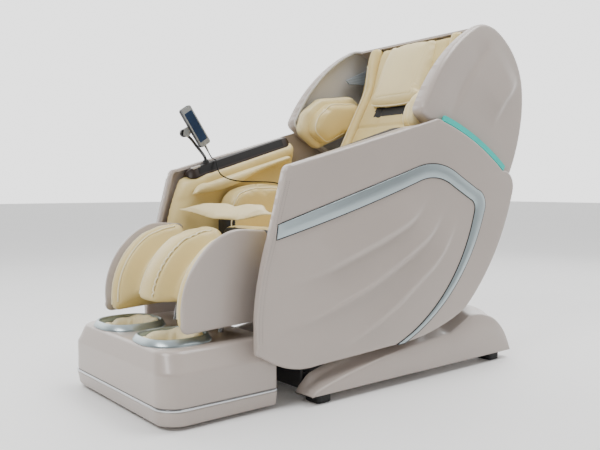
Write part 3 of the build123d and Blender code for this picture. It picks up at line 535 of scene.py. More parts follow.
def puff(piece, pressure=4.0, cap=6.0, voxel=6.0, finer=True):
    """Swell a closed cushion with a short cloth run, each point kept within cap of its start."""
    voxels = piece.modifiers.new("voxels", "REMESH")
    voxels.mode = "VOXEL"
    voxels.voxel_size = voxel * MM
    apply_modifiers(piece)
    start = [v.co.copy() for v in piece.data.vertices]
    cloth = piece.modifiers.new("cloth", "CLOTH")
    settings = cloth.settings
    settings.quality = 4
    settings.mass = 0.3
    settings.tension_stiffness = settings.compression_stiffness = 12
    settings.shear_stiffness = 4
    settings.bending_stiffness = 0.4
    settings.use_pressure = True
    settings.uniform_pressure_force = pressure
    settings.effector_weights.gravity = 0
    scene = bpy.context.scene
    for step in range(1, 21):
        scene.frame_set(step)
    swollen = piece.evaluated_get(bpy.context.evaluated_depsgraph_get()).data
    ends = [v.co.copy() for v in swollen.vertices]
    piece.modifiers.clear()
    for vertex, was, now in zip(piece.data.vertices, start, ends):
        move = now - was
        if move.length > cap * MM:
            move *= cap * MM / move.length
        vertex.co = was + move
    scene.frame_set(1)
    if finer:
        piece.modifiers.new("finer", "SUBSURF").levels = 1
        apply_modifiers(piece)
    smooth(piece, 180)


def step_up(value, low, high):
    """A smooth step from 0 at low to 1 at high."""
    t = np.clip((np.asarray(value, float) - low) / (high - low), 0, 1)
    return t * t * (3 - 2 * t)


# ================================================================ camera, light, floor

CAMERA_AT = Vector((2.09, -1.75, 0.70))
CAMERA_TURN, CAMERA_RISE = math.radians(50.88), math.radians(3.03)
camera = bpy.data.objects.new("camera", bpy.data.cameras.new("camera"))
bpy.context.scene.collection.objects.link(camera)
bpy.context.scene.camera = camera
behind = Vector((math.sin(CAMERA_TURN) * math.cos(CAMERA_RISE), -math.cos(CAMERA_TURN) * math.cos(CAMERA_RISE),
                 math.sin(CAMERA_RISE)))
camera.location = CAMERA_AT
camera.rotation_mode = "QUATERNION"
camera.rotation_quaternion = (-behind).to_track_quat("-Z", "Y")
camera.data.sensor_width = 36.0
camera.data.lens = 41.96


def lamp(name, at, towards, size, power):
    """A soft square light aimed at a point."""
    data = bpy.data.lights.new(name, "AREA")
    data.size = size
    data.energy = power
    light = bpy.data.objects.new(name, data)
    bpy.context.scene.collection.objects.link(light)
    light.location = at
    light.rotation_mode = "QUATERNION"
    light.rotation_quaternion = (Vector(towards) - Vector(at)).to_track_quat("-Z", "Y")


MIDDLE = (0.0, 0.0, 0.6)
lamp("key_light", (0.6, -3.0, 3.6), MIDDLE, 1.8, 120)
lamp("top_light", (0.9, 1.2, 4.2), MIDDLE, 2.0, 105)
lamp("side_light", (4.4, 0.4, 1.4), MIDDLE, 2.4, 22)
lamp("far_light", (-3.6, -1.6, 2.4), MIDDLE, 2.4, 30)
lamp("rear_light", (-0.6, 4.2, 2.6), MIDDLE, 2.4, 35)

world = bpy.data.worlds.new("studio")
bpy.context.scene.world = world
world.use_nodes = True
sky = world.node_tree
backdrop = sky.nodes["Background"]
backdrop.inputs["Color"].default_value = (1.0, 1.0, 1.0, 1)
# brighter behind the chair than in front of it, so the studio looks white and the chair keeps its shading
facing = sky.nodes.new("ShaderNodeVectorMath")
facing.operation = "DOT_PRODUCT"
facing.inputs[1].default_value = (-0.776, 0.631, 0.0)
link(sky, sky.nodes.new("ShaderNodeTexCoord").outputs["Generated"], facing.inputs[0])
level = sky.nodes.new("ShaderNodeMapRange")
level.inputs["From Min"].default_value = -0.2
level.inputs["From Max"].default_value = 0.75
level.inputs["To Min"].default_value = 0.24
level.inputs["To Max"].default_value = 2.4
link(sky, facing.outputs["Value"], level.inputs["Value"])
link(sky, level.outputs["Result"], backdrop.inputs["Strength"])

floor_skin = surface("pale_floor", (0.94, 0.94, 0.935), 0.6, 1.5, 0.01, 300, 0.01)
FLOOR_HALF = 30000.0
floor = show("floor", [(-FLOOR_HALF, -FLOOR_HALF, 0), (FLOOR_HALF, -FLOOR_HALF, 0), (FLOOR_HALF, FLOOR_HALF, 0),
                       (-FLOOR_HALF, FLOOR_HALF, 0)], [(0, 1, 2, 3)], floor_skin)

# ================================================================ remote cable

CABLE_DIAMETER = 5.0
CABLE_ROUTE = [
    (-354, -241.75, 847), (-352.5, -234.6, 833.5), (-345, -231, 822), (-327, -231, 816), (-308, -237, 815),
    (-292, -244, 806), (-281, -248, 789), (-270, -249, 770), (-256, -246, 753), (-240, -237, 742),
    (-224, -220, 733), (-213, -190, 727), (-210, -145, 725), (-211, -95, 725), (-215, -45, 725),
    (-222, 0, 722), (-229, 38, 713), (-234, 72, 698), (-239, 102, 680), (-250, 118, 672),
    (-272, 118, 672),
]


def nurbs_points(route):
    """Points, in millimetres, of the smooth NURBS line that a route controls."""
    data = bpy.data.curves.new("route", "CURVE")
    data.dimensions = "3D"
    spline = data.splines.new("NURBS")
    spline.points.add(len(route) - 1)
    for point, (x, y, z) in zip(spline.points, route):
        point.co = (x * MM, y * MM, z * MM, 1)
    spline.order_u = 3
    spline.use_endpoint_u = True
    data.resolution_u = 8
    holder = bpy.data.objects.new("route", data)
    bpy.context.scene.collection.objects.link(holder)
    graph = bpy.context.evaluated_depsgraph_get()
    mesh = bpy.data.meshes.new_from_object(holder.evaluated_get(graph))
    points = [tuple(v.co / MM) for v in mesh.vertices]
    bpy.data.objects.remove(holder)
    return points


cable_line = nurbs_points(CABLE_ROUTE)
cable = show("remote_cable_run", *tube_mesh(cable_line, CABLE_DIAMETER / 2, 12), jacket)
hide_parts("remote_cable")
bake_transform(cable)

# ================================================================ side shells

SHELL = trace(
    (-523, 189), ((-523, 300),), ((-506, 424), (-473, 545)), ((-416, 752),), ((-406, 768), (-388, 774)),
    ((248, 950),), ((271, 953), (291, 946)), ((486, 874), (664, 770)), ((731, 738), (738, 692)),
    ((620, 445), (433, 240)), ((250, 174), (33, 146)), ((-292, 124),), ((-395, 128), (-474, 162)),
    ((-523, 189),),
)

WAVES = [
    ([(215, 690), (128, 606), (-3, 544), (-166, 483), (-315, 431), (-440, 405)], 15.0, 80.0),
    ([(318, 655), (221, 548), (120, 484), (-2, 419), (-133, 360), (-315, 294), (-490, 240)], 19.0, 95.0),
    ([(380, 600), (271, 457), (140, 359), (0, 270), (-132, 209), (-265, 150)], 17.0, 80.0),
]
WAVE_FALL = 22.0  # how quickly a wave drops away below its crest


def bow(y, proud=0.0):
    """Half width of the side shell at y, with an offset square to its surface."""
    return SHELL_HALF - BOW_RADIUS + np.sqrt((BOW_RADIUS + proud) ** 2 - (np.asarray(y, float) - BOW_AT) ** 2)


def wave_height(y, z, waves, fall):
    """Overlapping waves: each swells slowly up to its crest line and drops quickly below it."""
    total = np.zeros(len(y))
    spots = np.stack([y, z], 1)
    for crest, height, swell in waves:
        line = curve_through(crest, 8.0)
        gaps = spots[:, None, :] - line[None, :, :]
        distance = np.sqrt((gaps ** 2).sum(2))
        closest = distance.argmin(1)
        gap = distance[np.arange(len(spots)), closest]
        way = np.gradient(line, axis=0)[closest]
        offset = spots - line[closest]
        above = way[:, 0] * offset[:, 1] - way[:, 1] * offset[:, 0] < 0
        along = closest / (len(line) - 1)
        fade = step_up(along, 0.0, 0.3) * step_up(1 - along, 0.0, 0.35)
        shape = np.where(above, np.exp(-gap / swell), 1 - step_up(gap, 0, fall))
        total += height * fade * shape
    return total


TRIM = trace(
    (-452, 541), ((-446, 586),), ((-167, 674), (150, 773)), ((265, 785), (375, 749)), ((490, 693),),
    ((537, 652), (532, 606)), ((353, 323), (89, 150)), ((58, 149),), ((322, 330), (475, 610)),
    ((475, 634), (449, 658)), ((346, 708),), ((252, 738), (160, 726)), ((-152, 626), (-452, 541)), step=6.0,
)


def shell_outer(u, v, d):
    """The side panel: waves that die out at its edge and beside the trim."""
    spots = np.stack([u, v], 1)
    clear = np.where(inside(TRIM, spots), 0.0, step_up(nearest(TRIM, spots), 5, 42))
    return bow(u) + wave_height(u, v, WAVES, WAVE_FALL) * step_up(d, 6, 40) * clear


def shell_inner(u, v, d):
    return bow(u) - SHELL_WALL


def shell_flange(u, v, d):
    """How far in the shell's edge reaches: to the flange in front and only the wall behind."""
    behind_y = step_up(u, 140, 160)
    return FLANGE_INNER * (1 - behind_y) + (bow(u) - SHELL_WALL) * behind_y


SHELL_EDGE = 9.0
shell_profile = [(12, shell_inner), (12, shell_flange), (2, shell_flange),
                 (0, lambda u, v, d: shell_flange(u, v, d) + 2)] + rounded_out(shell_outer, SHELL_EDGE)
shell_verts, shell_faces = panel(SHELL, shell_profile, 9.0)
for side_name, side in SIDES:
    shell = show(f"side_shell_{side_name}_skin", across(side, shell_verts), shell_faces, greige, 45)
    fit(shell, "seat", "shell", f"side_shell_{side_name}")

TRIM_PROUD, TRIM_CROWN, SEAL_PROUD, STRIP_PROUD = 3.0, 3.6, 2.2, 1.6


def trim_outer(u, v, d):
    return bow(u, TRIM_PROUD) + TRIM_CROWN * step_up(d, 0, 20)


def trim_seat(u, v, d):
    return bow(u) - 3.0


def seal_outer(u, v, d):
    return bow(u, SEAL_PROUD)


trim_verts, trim_faces = panel(TRIM, [(0.5, trim_seat), (0, trim_seat)] + rounded_out(trim_outer, 1.6, 3), 7.0)
seal_ring = inset(counter_clockwise(TRIM), -3.2)
seal_profile = [(0.5, trim_seat), (0, trim_seat)] + rounded_out(seal_outer, 0.8, 2)
seal_verts, seal_faces = panel(seal_ring, seal_profile, 14.0)
trims = show("silver_trims", *merged([(across(s, trim_verts), trim_faces) for _, s in SIDES]), silver)
fit(trims, "seat", "silver_trim", "shell_trims")
trim_seals = show("trim_seals", *merged([(across(s, seal_verts), seal_faces) for _, s in SIDES]), seal)
fit(trim_seals, "seat", "rubber")

# the stitched strip up each shell's front edge
strip_edge = curve_through([(-523, 205), (-523, 300), (-506, 424), (-473, 545), (-420, 738)], 8.0)
strip_edge = strip_edge + np.array([1.0, 0.0])
strip_outline = np.concatenate([strip_edge, (strip_edge + np.array([25.0, -3.0]))[::-1]])


def strip_outer(u, v, d):
    return bow(u, STRIP_PROUD)


strip_profile = [(0.5, trim_seat), (0, trim_seat)] + rounded_out(strip_outer, 1.4, 3)
strip_verts, strip_faces = panel(strip_outline, strip_profile, 9.0)
strips = show("front_strips", *merged([(across(s, strip_verts), strip_faces) for _, s in SIDES]), greige)
fit(strips, "seat", "shell")
rows = []
for _, side in SIDES:
    for shift in (8.0, 19.0):
        rows.append(stitch_mesh([(side * (bow(y + shift) + 1.9), y + shift, z) for y, z in strip_edge[2:-2]],
                                3.6, 2.6, 0.7))
strip_stitches = show("front_strip_stitches", *merged(rows), dark_thread)
fit(strip_stitches, "seat", "shell")

# ================================================================ hood

HOOD = trace(
    (212, 962), ((199, 978), (198, 996)), ((345, 1196), (528, 1329)), ((598, 1351), (664, 1342)),
    ((786, 1238), (825, 1098)), ((801, 910), (709, 712)), ((664, 694),), ((478, 822), (282, 912)),
    ((212, 962),),
)
HOOD_WAVES = [
    ([(640, 1300), (519, 1185), (438, 1095), (360, 988), (325, 930)], -9.0, 110.0),
    ([(815, 1185), (744, 1112), (680, 1053), (628, 991), (600, 940)], 12.0, 80.0),
]


def hood_half(v):
    return HOOD_HALF - 34 * np.clip((np.asarray(v, float) - 1000) / 400, 0, 1) ** 1.66


def hood_outer(u, v, d):
    return hood_half(v) + wave_height(u, v, HOOD_WAVES, 26.0) * step_up(d, 20, 110)


def hood_inner(u, v, d):
    return hood_half(v) - 10


HOOD_EDGE = 15.0
hood_profile = [(13, hood_inner), (13, flat(HOOD_RIM_IN + 3)), (10, flat(HOOD_RIM_IN)), (3, flat(HOOD_RIM_IN)),
                (0, flat(HOOD_RIM_IN + 3))] + rounded_out(hood_outer, HOOD_EDGE, 6)
hood_verts, hood_faces = panel(HOOD, hood_profile, 10.0, 40.0)
for side_name, side in SIDES:
    hood = show(f"hood_{side_name}_skin", across(side, hood_verts), hood_faces, greige, 45)
    hood.data.materials.append(greige_inside)
    for face in hood.data.polygons:
        if side * face.normal.x < -0.2:
            face.material_index = 1
    fit(hood, "back", "shell", f"hood_{side_name}")

# ================================================================ base covers

COVER_IN, COVER_OUT = 318.0, 410.0
cover_top = trace((-333, 30), ((-316, 46),), ((-214, 74), (-100, 97)), ((125, 131), (352, 150)),
                  ((415, 174), (476, 203)), ((560, 199), (634, 174)), ((697, 118), (741, 30)))


def cover_section(y):
    """Section of a base cover at y, from the inner foot over the ridge to the outer foot."""
    top = float(np.interp(y, cover_top[:, 0], cover_top[:, 1]))
    rise = 26.0 * float(step_up(y, -333, -270) * step_up(-y, -741, -650))
    body = max(top - 30.0, 0.5)
    ease = min(6.0, body * 0.5)
    return [
        (COVER_IN, 30), (COVER_IN, 30 + body * 0.5), (COVER_IN, top + rise - 3), (COVER_IN + 3, top + rise),
        (COVER_IN + 14, top + rise), (COVER_IN + 24, top + rise * 0.93), (COVER_IN + 34, top + rise * 0.72),
        (COVER_IN + 52, top + rise * 0.36), (COVER_IN + 70, top + rise * 0.12), (COVER_OUT - 9, top),
        (COVER_OUT - 5, top - ease * 0.25), (COVER_OUT - 2, top - ease * 0.7), (COVER_OUT, top - ease * 1.5),
        (COVER_OUT, 30 + body * 0.4), (COVER_OUT, 33), (COVER_OUT - 3, 30),
    ]


stations = [*np.linspace(-332.5, -300, 7), *np.arange(-290, 640, 12), *np.linspace(640, 740.5, 16)]
for side_name, side in SIDES:
    rings = [[(side * x, y, z) for x, z in cover_section(y)] for y in stations]
    cover = show(f"base_cover_{side_name}_skin", *capped(rings), greige, 38)
    fit(cover, "base", "shell", f"base_cover_{side_name}")

# ================================================================ foot box


def even_ring(half, front, rear, corner, z, count=260):
    """Plan of the foot box at height z: rounded front corners, eased rear ones and always count points."""
    eased = corner * (1 - math.sqrt(0.5))
    points = trace(
        (-half + 6, rear), ((-half, rear - 6),), ((-half, front + corner),),
        ((-half + eased, front + eased), (-half + corner, front)), ((half - corner, front),),
        ((half - eased, front + eased), (half, front + corner)), ((half, rear - 6),), ((half - 6, rear),),
        ((-half + 6, rear),), step=4.0,
    )
    return [(float(x), float(y), z) for x, y in resampled(points, count)]


def foot_rings(*rings):
    """Rings of the foot box, each given as how far in from its half width, front and rear, its corner and z."""
    return [even_ring(FOOT_HALF - a, FRONT + b, FOOT_REAR + c, corner, z) for a, b, c, corner, z in rings]


def well_ring(centre_x, half_x, half_y, z, count=72, power=2.6):
    """A rounded oval round one foot well."""
    ring = []
    for k in range(count):
        angle = math.tau * k / count
        c, s = math.cos(angle), math.sin(angle)
        ring.append((centre_x + half_x * math.copysign(abs(c) ** (2 / power), c),
                     WELL_Y + half_y * math.copysign(abs(s) ** (2 / power), s), z))
    return ring


box_rings = foot_rings(
    (3, 6, -2, 70, 66), (1, 4, 0, 72, 68), (1, 4, 0, 72, 110), (1, 4, 0, 72, 158), (2, 4.5, 0, 72, 164),
    (5, 6, 0, 72, 170), (12, 9, 0, 71, 179), (34, 18, 0, 66, 214), (39, 21, 0, 64, 221), (46, 26, -3, 60, 225),
    (54, 33, -8, 56, 226),
)
box_verts, box_faces = stack(box_rings)
top_ring = np.array([(x, y) for x, y, _ in box_rings[-1]])
wells = [np.array([(x, y) for x, y, _ in well_ring(side * WELL_X, 98, 100, 0)]) for _, side in SIDES]
spots, triangles = fill(top_ring, 26.0, wells)
ring_first = (len(box_rings) - 1) * len(top_ring)
extra = [(x, y, 226.0) for hole in wells for x, y in hole] + [(x, y, 226.0) for x, y in spots]
start = len(box_verts)
box_verts = list(box_verts) + extra
count = len(top_ring)
box_faces += [tuple(ring_first + k if k < count else start + k - count for k in face) for face in triangles]
for number, hole in enumerate(wells):
    first = start + number * len(hole)
    low = len(box_verts)
    box_verts += [(x, y, 80.0) for x, y in hole]
    for k in range(len(hole)):
        n = (k + 1) % len(hole)
        box_faces.append((first + k, first + n, low + n, low + k))
    box_faces.append(tuple(range(low, low + len(hole))))
foot_box = show("foot_box_skin", box_verts, box_faces, greige, 40)
fit(foot_box, "foot", "shell", "foot_box")

skirt_verts, skirt_faces = capped(foot_rings(
    (12, 18, -2, 66, 12), (7, 12, 0, 68, 13), (4, 8, 0, 70, 20), (-1, 3, 0, 73, 50), (-2, 2, 0, 74, 55),
    (0, 4, 0, 73, 58),
))
foot_skirt = show("foot_skirt_skin", skirt_verts, skirt_faces, greige, 40)
fit(foot_skirt, "foot", "shell", "foot_skirt")

line_verts, line_faces = capped(foot_rings(
    (8, 10, -2, 66, 58.2), (-1.5, 1.5, 1, 73, 58.4), (-2.6, 0.4, 1, 74, 60), (-2.6, 0.4, 1, 74, 64),
    (-1.5, 1.5, 1, 73, 65.8), (8, 10, -2, 66, 66),
))
foot_line = show("foot_chrome_line", line_verts, line_faces, chrome, 50)
fit(foot_line, "foot", "chrome_trim", "foot_trim")

ring_profile = [(-3, 226.2), (-4, 240), (-2, 245), (2, 247), (7, 245.5), (20, 232), (22.5, 229.5), (23, 226.2)]
ring_parts = []
for _, side in SIDES:
    loops = [well_ring(side * WELL_X, 98 + out, 100 + out * 0.55, z) for out, z in ring_profile]
    verts, faces = stack(loops, cap_low=False)
    count = len(loops[0])
    last = (len(loops) - 1) * count
    faces += [(k, (k + 1) % count, last + (k + 1) % count, last + k) for k in range(count)]
    ring_parts.append((verts, faces))
rings = show("foot_ring_skins", *merged(ring_parts), silver, 60)
fit(rings, "foot", "silver_trim", "foot_rings")

# crumpled cloth socks that line the wells
liner_parts = []
for _, side in SIDES:
    loops = []
    for level, (shrink, z) in enumerate([
        (6, 132), (6, 160), (6, 190), (6, 214), (7, 227), (12, 235), (20, 238), (29, 236), (37, 229), (42, 216),
        (44, 196), (43, 174), (42, 150), (42, 138),
    ]):
        loop = []
        for k, (x, y, _) in enumerate(well_ring(side * WELL_X, 98 - shrink, 100 - shrink, z, 120)):
            angle = math.tau * k / 120
            loose = step_up(z, 180, 232) if level < 6 else 1.0
            fold = noise.noise(Vector((math.cos(angle) * 2.6, math.sin(angle) * 2.6, level * 0.22 + side * 3)))
            fine = noise.noise(Vector((math.cos(angle) * 7, math.sin(angle) * 7, level * 0.4 + side * 9)))
            move = float(loose) * (9.0 * fold + 3.5 * fine)
            out_x, out_y = x - side * WELL_X, y - WELL_Y
            size = math.hypot(out_x, out_y)
            if level < 6:
                move = min(move, 2.0)
            rear = 10.0 * float(loose) * (out_y / 100)
            rise = float(loose) * 9.0 * fold + rear
            loop.append((x + out_x / size * move, y + out_y / size * move, z + rise))
        loops.append(loop)
    liner_parts.append(capped(loops))
liners = show("foot_liner_cloths", *merged(liner_parts), liner_cloth, 180)
liners.modifiers.new("finer", "SUBSURF").levels = 1
apply_modifiers(liners)
fit(liners, "foot", "liner", "foot_liners")

# ================================================================ leg rest

CALF = trace(
    (-436, 275), ((-701, 262),), ((-722, 272), (-724, 295)), ((-694, 446), (-590, 550)),
    ((-548, 567), (-501, 571)),
    ((-435, 566),), ((-417, 560), (-411, 542)), ((-436, 275),),
)
calf_verts, calf_faces = panel(CALF, [(2, flat(264)), (0, flat(266))] + rounded_out(flat(280), 8), 18.0)
for side_name, side in SIDES:
    calf_shell = show(f"calf_shell_{side_name}_skin", across(side, calf_verts), calf_faces, greige, 50)
    fit(calf_shell, "leg", "shell", f"calf_shell_{side_name}")

PAD_HALF = 263.0
PAD_EDGE = 14.0


def calf_depth(x):
    """How far the cushion's face is set back at x: a divider, two channels and the outer pads."""
    a = abs(x)
    divider = 3 + 6 * (a / 44) ** 2 if a < 44 else 9
    into = float(step_up(a, 44, 92))
    out = float(step_up(a, 176, 214))
    floor_swell = 9 * math.cos((a - 134) / 52 * math.pi / 2) if 82 < a < 186 else 0
    channel = 76 - floor_swell
    outer = 2 + 5 * abs((a - 238) / 25) ** 2.2 if a > 214 else 6
    return divider * (1 - into) + channel * into * (1 - out) + outer * out if a < 214 else outer


def calf_foot(x):
    """Height of the cushion's lower end at x: the channels end higher than the outer pads."""
    return 270 + 62 * float(1 - step_up(abs(x), 165, 232))


def calf_loop(x, count=150):
    """Closed section of the calf cushion at x, in (Y, Z)."""
    deep, foot = calf_depth(x), calf_foot(x)
    ends = max(0.0, abs(x) - (PAD_HALF - PAD_EDGE))
    shrink = PAD_EDGE - math.sqrt(max(PAD_EDGE ** 2 - ends ** 2, 0.0))
    points = trace(
        (-500, foot + 8), ((-690 + deep, foot - 2),), ((-706 + deep, foot + 2), (-714 + deep, foot + 18)),
        ((-684 + deep * 0.93, 436 - deep * 0.37), (-585 + deep * 0.55, 540 - deep * 0.84)),
        ((-520, 562 - deep * 0.9),), ((-480, 566 - deep * 0.8),),
        ((-448, 560 - deep * 0.7), (-440, 530 - deep * 0.7)),
        ((-470, 420),), ((-500, foot + 8),), step=5.0,
    )
    points = counter_clockwise(points)
    return inset(resampled(points, count), shrink)


calf_stations = [-263, -262, -260, -257, -253, -249, *range(-244, 245, 4), 249, 253, 257, 260, 262, 263]
calf_loops = [[(x, y, z) for y, z in calf_loop(x)] for x in calf_stations]
calf_pad = show("calf_cushion", *capped(calf_loops), leather, 180)


def calf_face_line(x_at, low=0.0, high=1.0, out=0.0):
    """A line up the cushion's face, x_at(t) across and t from its foot to its top."""
    line = []
    for k in range(60):
        t = low + (high - low) * k / 59
        x = x_at(t)
        deep, foot = calf_depth(x), calf_foot(x)
        arc_points = trace((-714 + deep, foot + 18), ((-684 + deep * 0.93, 436 - deep * 0.37),
                           (-585 + deep * 0.55, 540 - deep * 0.84)), ((-520, 562 - deep * 0.9),),
                           ((-480, 566 - deep * 0.8),), step=4.0)
        spot = arc_points[min(int(t * (len(arc_points) - 1)), len(arc_points) - 1)]
        line.append((x, spot[0] - out, spot[1]))
    return curve_through(line[::4] + [line[-1]], 5.0)


seams = [calf_face_line(lambda t, s=s: s * 46) for s in (1, -1)]
seams += [calf_face_line(lambda t, s=s: s * 212) for s in (1, -1)]
seams += [calf_face_line(lambda t, s=s: s * 249) for s in (1, -1)]
press_in(calf_pad, seams, 8.0, 5.5)
calf_tree = surface_of(calf_pad)
pad(calf_pad, "leg", 0.8, "calf_pad")
piping("calf_piping", [laid_on(calf_tree, line, 2.2) for line in seams], 3.4, piping_skin, "leg")

# ================================================================ armrests


def arm_top_at(y, above=0.0):
    """A point on the line where the dark insert sits on the arm pad."""
    return (y, ARM_FRONT[1] + ARM_RISE * (y - ARM_FRONT[0]) + above)


ARM = trace((-458, 446), ((-449, 526), (-432, 600)), ((-410, 672), (-384, 734)), (arm_top_at(-362),),
            (arm_top_at(150),), ((168, 880),), ((150, 446),), ((-458, 446),), step=8.0)


ARM_EDGE_Z = [446, 526, 600, 672, 734, 742]  # heights up the armrest's front edge, and Y at each
ARM_EDGE_Y = [-458, -449, -432, -410, -384, -362]
ARM_TAPER = 80.0  # the armrest is thin at its front edge and full this far behind it


def arm_face(u, v, d):
    """The armrest's inner face: a broad roll under the insert, flatter by the flap and thin in front."""
    below = arm_top_at(u)[1] - v
    roll = 7 * np.exp(-((below - 34) / 26) ** 2)
    full = 50 + 6 * (1 - np.exp(-d / 16)) + roll * step_up(d, 0, 20) - 5 * step_up(below, 70, 80)
    from_front = u - np.interp(v, ARM_EDGE_Z, ARM_EDGE_Y)
    return full * (0.36 + 0.64 * np.sin(np.clip(from_front / ARM_TAPER, 0, 1) * math.pi / 2))


arm_verts, arm_faces = panel(ARM, [(2, flat(0)), (0, flat(3))] + rounded_out(arm_face, 20, 6), 12.0)
for side_name, side in SIDES:
    arm_pad = show(f"arm_cushion_{side_name}", across(side, arm_verts, ARM_OUTER, -1), arm_faces, leather, 180)
    puff(arm_pad, 2.5, 3.0, 7.0)
    seam = [(side * (ARM_INNER - 4), y, arm_top_at(y)[1] - 66) for y in np.linspace(-410, 140, 60)]
    press_in(arm_pad, [seam], 5.0, 5.0)
    pad(arm_pad, "seat", 0.85, f"arm_pad_{side_name}")

# sections of the armrest's insert: distance from the middle, and height above the armrest's top line
TRAY = [(352, -2), (352, 21), (347, 25), (324, 25), (318, 23), (300, -10), (298, -15), (303, -18)]
TRAY_FACE = [(346, 25.6), (325, 25.6), (317, 22.4), (302.5, -5), (303.5, -7), (344, 20)]


def tray(section, low, high, end):
    """Tilted tray along the armrest, its section shrinking towards rounded ends."""
    rings = []
    for y in [*np.linspace(low, low + end, 9), *np.linspace(low + end, high - end, 40)[1:-1],
              *np.linspace(high - end, high, 9)]:
        gap = max(0.0, end - min(y - low, high - y)) / end
        size = max(0.06, math.sqrt(max(0.0, 1 - gap ** 2)))
        rings.append([
            (ARM_OUTER - (ARM_OUTER - x) * (0.35 + 0.65 * size), y, arm_top_at(y)[1] + 4 + (z - 4) * size)
            for x, z in section
        ])
    return rings


TRAY_LOW, TRAY_HIGH = -360.0, 150.0
tray_parts, face_parts = [], []
for _, side in SIDES:
    for section, low, high, end, parts in ((TRAY, TRAY_LOW, TRAY_HIGH, 36.0, tray_parts),
                                           (TRAY_FACE, TRAY_LOW + 34, TRAY_HIGH - 34, 14.0, face_parts)):
        rings = [[(side * x, y, z) for x, y, z in ring] for ring in tray(section, low, high, end)]
        parts.append(capped(rings))
inserts = show("arm_inserts", *merged(tray_parts), brown_gloss, 38)
fit(inserts, "seat", "dark_gloss", "arm_tops")
tray_faces = show("arm_insert_faces", *merged(face_parts), black_gloss, 38)
fit(tray_faces, "seat", "dark_gloss")

FLAP = trace((-356, 674), ((-338, 704), (-290, 724)), ((-200, 752), (-60, 790)), ((30, 814), (112, 838)),
             ((124, 832), (122, 820)), ((-20, 775), (-110, 733)), ((-200, 698), (-290, 681)),
             ((-330, 676), (-356, 674)), step=6.0)


def flap_face(u, v, d):
    return 20 + 24 * (1 - np.exp(-d / 26))


flap_verts, flap_faces = panel(FLAP, pillowed(flat(1), 5, flap_face, 9, 4), 9.0)
for side_name, side in SIDES:
    flap = show(f"arm_flap_cushion_{side_name}", across(side, flap_verts, ARM_INNER - 1, -1), flap_faces,
                leather_light, 180)
    puff(flap, 4.0, 5.0, 5.0)
    pad(flap, "seat", 0.6, f"arm_flap_{side_name}")

HIP = trace((-244, 486), ((-248, 560), (-238, 628)), ((-214, 678), (-170, 702)), ((-130, 712), (-90, 714)),
            ((-40, 716), (26, 712)), ((44, 660),), ((60, 438),), ((-244, 486),), step=8.0)
hip_verts, hip_faces = panel(HIP, pillowed(flat(0), 8, crowned(90, 8, 40), 24, 6), 12.0)
for side_name, side in SIDES:
    hip = show(f"hip_cushion_pad_{side_name}", across(side, hip_verts, 288, -1), hip_faces, leather, 180)
    puff(hip, 3.5, 5.0, 7.0)
    edge = inset(counter_clockwise(HIP), 13)
    border = [(side * 198, y, z) for y, z in edge if z > 520]
    border = sorted(border, key=lambda p: math.atan2(p[2] - 560, -(p[1] + 130)))
    second = [(side * 191, y, z) for y, z in inset(counter_clockwise(HIP), 26) if z > 540]
    second = sorted(second, key=lambda p: math.atan2(p[2] - 570, -(p[1] + 130)))
    press_in(hip, [border], 3.0, 4.0)
    # painted shade: the hip cushion's front faces low under the flap are coloured black where the flap's shadow
    # falls
    hip.data.materials.append(black)
    for face in hip.data.polygons:
        if face.normal.y < -0.4 and face.center.z < 0.606:
            face.material_index = 1
    tree = surface_of(hip)
    piping(f"hip_piping_{side_name}", [laid_on(tree, evenly(border, 6), 1.2)], 2.6, piping_skin, "seat")
    row = laid_on(tree, evenly(second, 4), 0.2)
    stitch = show(f"hip_stitches_{side_name}", *stitch_mesh(row, 4, 3, 0.8), thread)
    fit(stitch, "seat", "leather")
    pad(hip, "seat", 0.8, f"hip_cushion_{side_name}")

# ================================================================ seat

seat_outline = trace((-186, -296), ((-186, 140),), ((186, 140),), ((186, -296),), ((-186, -296),), step=9.0)


def seat_top(u, v, d):
    return 548 - 0.112 * (v + 250) * (v > -250) + 8 * (1 - np.exp(-d / 50)) - 6 * np.exp(-(u / 14) ** 2)


def seat_bottom(u, v, d):
    return 486 - 0.133 * (v + 300) + 2


seat_verts, seat_faces = panel(soften(seat_outline, 6), pillowed(seat_bottom, 5, seat_top, 24, 6), 12.0)
seat_pad = show("seat_cushion", seat_verts, seat_faces, leather, 180)
puff(seat_pad, 3.0, 5.0, 7.0)
# painted shade: the seat's front faces below the flap are coloured black where the flap's shadow falls
seat_pad.data.materials.append(black)
for face in seat_pad.data.polygons:
    if face.normal.y < -0.5:
        face.material_index = 1
seat_seams = [[(x, y, 556) for y in np.linspace(-270, 120, 40)] for x in (-92, 92)]
press_in(seat_pad, seat_seams, 5.0, 6.0)
pad(seat_pad, "seat", 0.8, "seat_pad")
seat_tree = surface_of(seat_pad)
seat_stitches = show("seat_stitches", *merged(
    [stitch_mesh(laid_on(seat_tree, evenly(line, 5), 0.3), 4, 3, 0.8) for line in seat_seams]), thread)
fit(seat_stitches, "seat", "leather")


LEAF_DEPTH = 80.0


def leaf_rear(a):
    """How far down the leaning flap its rear edge lies at a from the middle, 0 at the rear and 1 in front."""
    return 0.8 * float(step_up(a, 170, 304)) + 0.12 * float(1 - step_up(a, 0, 60))


leaf = np.array([(x, -LEAF_DEPTH) for x in np.linspace(-304, 304, 61)]
                + [(x, -LEAF_DEPTH * leaf_rear(abs(x))) for x in np.linspace(304, -304, 61)])
leaf_verts, leaf_faces = panel(leaf, pillowed(flat(4), 3, crowned(14, 15, 22), 6, 4), 8.0)


def leaf_place(u, v, w):
    """The flap slopes forward and down from its rear edge; its middle dips and its tips reach forward."""
    along, outer = -v / LEAF_DEPTH, float(step_up(abs(u), 60, 290))
    rear = (-330 - 30 * outer, 642 - 4 * outer)
    front = (-388 - 20 * outer, 580 + 32 * outer)
    y, z = (a + (b - a) * along for a, b in zip(rear, front))
    return (u, y - w * 0.6, z + w * 0.35)


